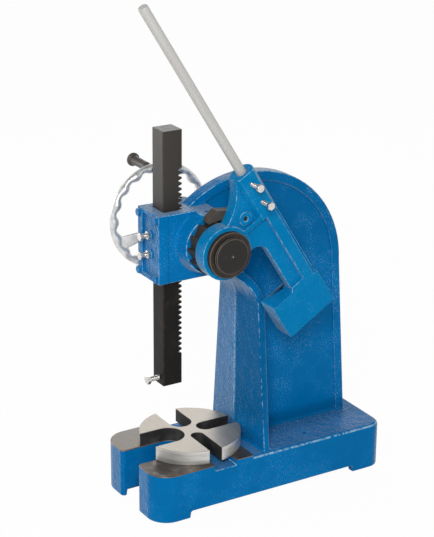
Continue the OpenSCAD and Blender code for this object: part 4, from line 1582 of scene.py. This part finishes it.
@dataclass
class RatchetShaft:
    """The pinion shaft with its ratchet wheel and collar."""

    end_x: float = 0.1675
    mark_r: float = 3.2 * MM
    mark_slope: float = 0.95

    def face(self, middle: Vector, normal: Vector) -> int:
        """Tells the centre mark of the shaft's end from the blackened faces.

        Args:
            middle: the face's middle.
            normal: its normal.

        Returns:
            1 for the cone of the mark, else 0.
        """
        near_axis = (middle - PINION).yz.length < self.mark_r
        near_end = middle.x > self.end_x - 2 * self.mark_r
        return 1 if near_axis and near_end and normal.x < self.mark_slope else 0

    def build(self) -> None:
        """Builds the shaft's visible pieces."""
        rows = (
            ("pinion_shaft", EdgeRound(1.5 * MM, 3), TURNED_BLACK),
            ("ratchet_wheel", EdgeRound(1.0 * MM, 2), RATCHET_BLACK),
            ("shaft_collar", EdgeRound(1.8 * MM, 3), COLLAR_BLACK),
            ("collar_screw", EdgeRound(0.3 * MM, 2), TURNED_BLACK),
        )
        for node, rounding, finish in rows:
            copy = NodeCopy(node, "turned", Body.SHAFT, Slot.BLACK_STEEL, rounding, self.face)
            copy.place(finish, MARK_STEEL)


@dataclass
class Lever:
    """The lever casting with its bar, clamp bolts and pawl."""

    casting: EdgeRound = EdgeRound(2.0 * MM, 3, hollow=2.0 * MM)
    bar: EdgeRound = EdgeRound(0.6 * MM, 2)
    pawl: EdgeRound = EdgeRound(1.0 * MM, 2)
    clamps: HexScrews = HexScrews(16 * MM, 7 * MM, 5 * MM, 37.5 * MM, facing=Facing.RIGHT)
    clamp_across: float = 0.128
    clamp_along: Span = (0.095, 0.043)
    clamp_x: float = 0.1775

    def build(self) -> None:
        """Builds the lever's pieces."""
        casting = NodeCopy(
            "lever_casting", "cast", Body.LEVER, Slot.LEVER_PAINT, self.casting
        )
        casting.place(LEVER_ENAMEL)
        NodeCopy("lever_bar", "drawn", Body.LEVER, Slot.BAR_STEEL, self.bar).place(BAR)
        seats = [at_lever(self.clamp_across, u, self.clamp_x) for u in self.clamp_along]
        self.clamps.place("bar_clamp_bolts", Body.LEVER, Slot.ZINC_STEEL, PLATED, seats)
        NodeCopy("pawl", "filed", Body.PAWL, Slot.BLACK_STEEL, self.pawl).place(PAWL_BLACK)


@dataclass
class Handwheel:
    """The chromed wheel with its revolving grip.

    The grip's root is given by distances from its start and radii, its flange by distances back
    from its end and radii.
    """

    hub_x: float = -0.0825
    hub_r: float = 0.032
    hub_l: float = 0.042
    hub_chamfer: float = 1.5 * MM
    bore_r: float = 0.01805
    dish: float = 0.074
    outer: float = 0.126
    tube: float = 0.011
    wave: float = 0.007
    waves: float = 18.0
    spokes: int = 3
    first: float = math.radians(-88.0)
    spoke_sunk: float = 0.004
    spoke_steps: int = 10
    spoke_sides: int = 20
    spoke_square: float = 0.45
    spoke_flare: float = 1.5
    root_w: float = 0.016
    tip_w: float = 0.036
    root_t: float = 0.012
    tip_t: float = 0.008
    hardware: EdgeRound = EdgeRound(0.6 * MM, 2)
    handle: float = math.radians(100.0)
    grip_gap: float = 0.5 * MM
    grip_l: float = 0.075
    grip_root: tuple[Span, ...] = (
        (0.0, 0.00505), (0.0, 0.0092), (0.0015, 0.0102), (0.010, 0.0105),
    )
    grip_flange: tuple[Span, ...] = (
        (0.011, 0.0107), (0.009, 0.0115), (0.007, 0.0143), (0.006, 0.0155), (0.004, 0.0160),
        (0.0018, 0.0157), (0.0004, 0.0143), (0.0, 0.0125), (0.0, 0.00505),
    )

    def axes(self) -> Matrix:
        """Gives the wheel's own axes: z out to the left, x to the back."""
        return Matrix(((0.0, 0.0, -1.0), (1.0, 0.0, 0.0), (0.0, -1.0, 0.0)))

    def spoke(self) -> Mesh:
        """Lofts one dished spoke along the wheel's own x axis.

        Returns:
            The spoke's closed mesh, whose ends are inside the hub and the rim.
        """
        form = bmesh.new()
        rows = []
        start = self.hub_r - self.spoke_sunk
        run = self.outer - self.tube - self.hub_r + self.spoke_sunk
        sides = self.spoke_sides
        for k in range(self.spoke_steps + 1):
            s = k / self.spoke_steps
            rise = self.hub_l / 2 + (self.dish - self.hub_l / 2) * s
            half_w = 0.5 * (self.root_w + (self.tip_w - self.root_w) * s ** self.spoke_flare)
            half_t = 0.5 * (self.root_t + (self.tip_t - self.root_t) * s)
            row = []
            for j in range(sides):
                a = 2.0 * math.pi * j / sides
                c, d = math.cos(a), math.sin(a)
                y = half_w * math.copysign(abs(c) ** self.spoke_square, c)
                z = half_t * math.copysign(abs(d) ** self.spoke_square, d)
                row.append(form.verts.new((start + s * run, y, rise + z)))
            rows.append(row)
        for low, high in zip(rows, rows[1:]):
            for j in range(sides):
                n = (j + 1) % sides
                form.faces.new((low[j], low[n], high[n], high[j]))
        form.faces.new(rows[0])
        form.faces.new(rows[-1])
        bmesh.ops.recalc_face_normals(form, faces=form.faces)
        for face in form.faces:
            face.smooth = len(face.verts) == 4
        return poured(form, "spoke")

    def wheel(self, foot: Vector, rim_at: Vector) -> None:
        """Builds the rim, the spokes and the hub.

        Args:
            foot: the hub's inner end, on the shaft's axis.
            rim_at: the rim's middle.
        """
        turn = tuple(self.axes().to_euler())
        rim = GeometryKit.run(
            "wavy_rim", dots([Vector((0.0, 0.0, 0.0))]), CHROME, Outer=self.outer,
            Tube=self.tube, Depth=self.wave, Waves=self.waves, Place=tuple(rim_at), Turn=turn,
        )
        spokes = GeometryKit.run(
            "spoke_ring", self.spoke(), CHROME, Count=self.spokes, First=self.first,
            Place=tuple(foot), Turn=turn,
        )
        e, far = self.hub_chamfer, self.hub_l
        hub = [
            (0.0, self.bore_r), (0.0, self.hub_r - e), (e, self.hub_r), (far - e, self.hub_r),
            (far, self.hub_r - e), (far, self.bore_r),
        ]
        boss = lathe(hub, foot, LEFT)
        rows = (("rim", rim, ("handwheel",)), ("spokes", spokes, ()), ("hub", boss, ()))
        for name, mesh, nodes in rows:
            piece = Piece(f"handwheel_{name}", Body.SHAFT, Slot.WHEEL_CHROME, nodes)
            piece.place(mesh, CHROME)

    def grip(self, rim_at: Vector) -> None:
        """Builds the revolving grip.

        Args:
            rim_at: the rim's middle.
        """
        reach = self.outer - self.tube
        side = Vector((0.0, reach * math.cos(self.handle), reach * math.sin(self.handle)))
        start = rim_at + side + (self.tube + self.grip_gap) * LEFT
        flange = [(self.grip_l - back, r) for back, r in self.grip_flange]
        piece = Piece("handle_grip_turned", Body.GRIP, Slot.GRIP_BLACK, ("handle_grip",))
        piece.place(lathe([*self.grip_root, *flange], start, LEFT), GRIP)

    def build(self) -> None:
        """Builds the wheel, its hardware and its grip."""
        foot = Vector((self.hub_x, PINION.y, PINION.z))
        rim_at = foot + self.dish * LEFT
        self.wheel(foot, rim_at)
        for node in ("handwheel_washer", "handwheel_nut", "handle_spindle"):
            NodeCopy(node, "plated", Body.SHAFT, Slot.ZINC_STEEL, self.hardware).place(PLATED)
        self.grip(rim_at)


@dataclass
class ArborPlate:
    """The loose round plate with four open slots."""

    radius: float = 0.118
    tolerance: float = 1.2 * MM
    flat_slope: float = 0.5
    rounding: EdgeRound = EdgeRound(0.7 * MM, 2)

    def face(self, middle: Vector, normal: Vector) -> int:
        """Tells the plate's faces apart.

        Args:
            middle: the face's middle.
            normal: its normal.

        Returns:
            0 for the flats, 1 for the rim and 2 for the slots' walls.
        """
        if abs(normal.z) > self.flat_slope:
            return 0
        reach = (middle - PLATE_CENTRE).to_2d().length
        return 1 if reach > self.radius - self.tolerance else 2

    def build(self) -> None:
        """Builds and dresses the plate."""
        plate = NodeCopy(
            "arbor_plate", "turned", Body.FRAME, Slot.MACHINED_IRON, self.rounding, self.face
        )
        plate.place(PLATE_IRON, RIM_IRON, SLOT_IRON)


@dataclass(frozen=True)
class Lamp:
    """A square lamp: its name, where it hangs, its side and its power in watts."""

    name: str
    place: Place
    size: float
    power: float


@dataclass
class Studio:
    """Camera, floor and light."""

    eye: Vector = field(default_factory=lambda: Vector((3.0620, -2.0620, 1.8860)))
    target: Vector = field(default_factory=lambda: Vector((-0.66082, 0.20762, 0.24359)))
    roll: float = math.radians(0.50)
    focal_px: float = 1697.43
    image_h: int = 537
    sensor: float = 36.0
    reach: float = 200.0
    floor_half: float = 30.0
    floor_grey: Colour = (0.86, 0.86, 0.86)
    floor_rough: float = 0.9
    floor_glow: float = 0.97
    white: Colour = (1.0, 1.0, 1.0)
    ceiling: Colour = (0.12, 0.125, 0.135)
    ceiling_z: Span = (0.35, 0.9)
    room_light: float = 0.42
    lamps: tuple[Lamp, ...] = (
        Lamp("key_lamp", (2.4, -1.75, 2.2), 1.0, 60.0),
        Lamp("left_lamp", (-2.5, -1.9, 0.75), 1.3, 24.0),
        Lamp("rear_lamp", (-2.5, 1.4, 1.8), 1.5, 12.0),
    )
    lit: Vector = field(default_factory=lambda: Vector((0.0, -0.2, 0.45)))

    def camera(self) -> None:
        """Sets the camera at the photograph's angle."""
        data = bpy.data.cameras.new("camera")
        data.sensor_width = self.sensor
        data.lens = self.sensor * self.focal_px / self.image_h
        data.clip_end = self.reach
        camera = linked("camera", data)
        aim = (self.target - self.eye).to_track_quat("-Z", "Y").to_matrix().to_4x4()
        roll = Matrix.Rotation(self.roll, 4, "Z")
        camera.matrix_world = Matrix.Translation(self.eye) @ aim @ roll
        bpy.context.scene.camera = camera

    @staticmethod
    def seen(w: TreeWriter) -> Socket:
        """Tells the rays that show the background from those that only light.

        Args:
            w: the writer of the floor's or the world's tree.

        Returns:
            A mask of the camera's rays and of mirrored and passed ones.
        """
        path = w.add("ShaderNodeLightPath").outputs
        other = w.math("MAXIMUM", path["Is Glossy Ray"], path["Is Transmission Ray"])
        return w.math("MAXIMUM", path["Is Camera Ray"], other)

    def floor(self) -> None:
        """Lays a pale floor that keeps a faint shadow."""
        half = self.floor_half
        mesh = bpy.data.meshes.new("floor")
        corners = [(-half, -half, 0.0), (half, -half, 0.0), (half, half, 0.0), (-half, half, 0.0)]
        mesh.from_pydata(corners, [], [(0, 1, 2, 3)])
        material = bpy.data.materials.new("pale_floor")
        material.use_nodes = True
        w = TreeWriter(material.node_tree)
        base = w.tree.nodes["Principled BSDF"]
        base.inputs["Base Color"].default_value = (*self.floor_grey, 1.0)
        base.inputs["Roughness"].default_value = self.floor_rough
        glow = w.out("ShaderNodeEmission", {"Color": (*self.white, 1.0), "Strength": 1.0})
        share = w.times(self.seen(w), self.floor_glow)
        mixed = w.out("ShaderNodeMixShader", {0: share, 1: base.outputs[0], 2: glow})
        w.put(mixed, w.tree.nodes["Material Output"].inputs[0])
        material.cycles.emission_sampling = "NONE"
        mesh.materials.append(material)
        floor = linked("floor", mesh)

    def world(self) -> None:
        """Fills the room with soft light behind a white backdrop."""
        world = bpy.data.worlds.new("room")
        world.use_nodes = True
        bpy.context.scene.world = world
        w = TreeWriter(world.node_tree)
        light = w.tree.nodes["Background"]
        light.inputs["Color"].default_value = (*self.white, 1.0)
        light.inputs["Strength"].default_value = self.room_light
        height = w.parts(w.add("ShaderNodeTexCoord").outputs["Generated"])[2]
        tone = w.mix(w.ramp(height, *self.ceiling_z), self.white, self.ceiling)
        backdrop = w.out("ShaderNodeBackground", {"Color": tone, "Strength": 1.0})
        rays = {0: self.seen(w), 1: light.outputs[0], 2: backdrop}
        w.put(w.out("ShaderNodeMixShader", rays), w.tree.nodes["World Output"].inputs[0])

    def hang(self, lamp: Lamp) -> None:
        """Hangs a lamp that looks at the press.

        Args:
            lamp: the lamp.
        """
        data = bpy.data.lights.new(lamp.name, "AREA")
        data.size = lamp.size
        data.energy = lamp.power
        hung = linked(lamp.name, data)
        hung.location = lamp.place
        hung.rotation_euler = (self.lit - hung.location).to_track_quat("-Z", "Y").to_euler()

    def build(self) -> None:
        """Sets up the whole studio."""
        self.camera()
        self.floor()
        self.world()
        for lamp in self.lamps:
            self.hang(lamp)
        bpy.context.scene.view_settings.view_transform = "Standard"


def dress_hidden() -> None:
    """Gives the nodes that stay as they are their finishes."""
    for node, finish in (
        ("gib_strip", RAM_BLACK), ("ratchet_key", PLATED), ("pawl_pin", RATCHET_BLACK),
        ("handwheel_key", PLATED),
    ):
        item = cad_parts[node]
        item.data.materials.clear()
        item.data.materials.append(finish.material())
        LOG.info("%s: dressed", node)


def main() -> None:
    """Builds the studio and every sub-assembly in order."""
    logging.basicConfig(level=logging.INFO)
    Studio().build()
    for part in (
        FrameCasting(), HeadCap(), RamAndRack(), RatchetShaft(), Lever(), Handwheel(),
        ArborPlate(),
    ):
        part.build()
    dress_hidden()


if __name__ == "__main__":
    main()
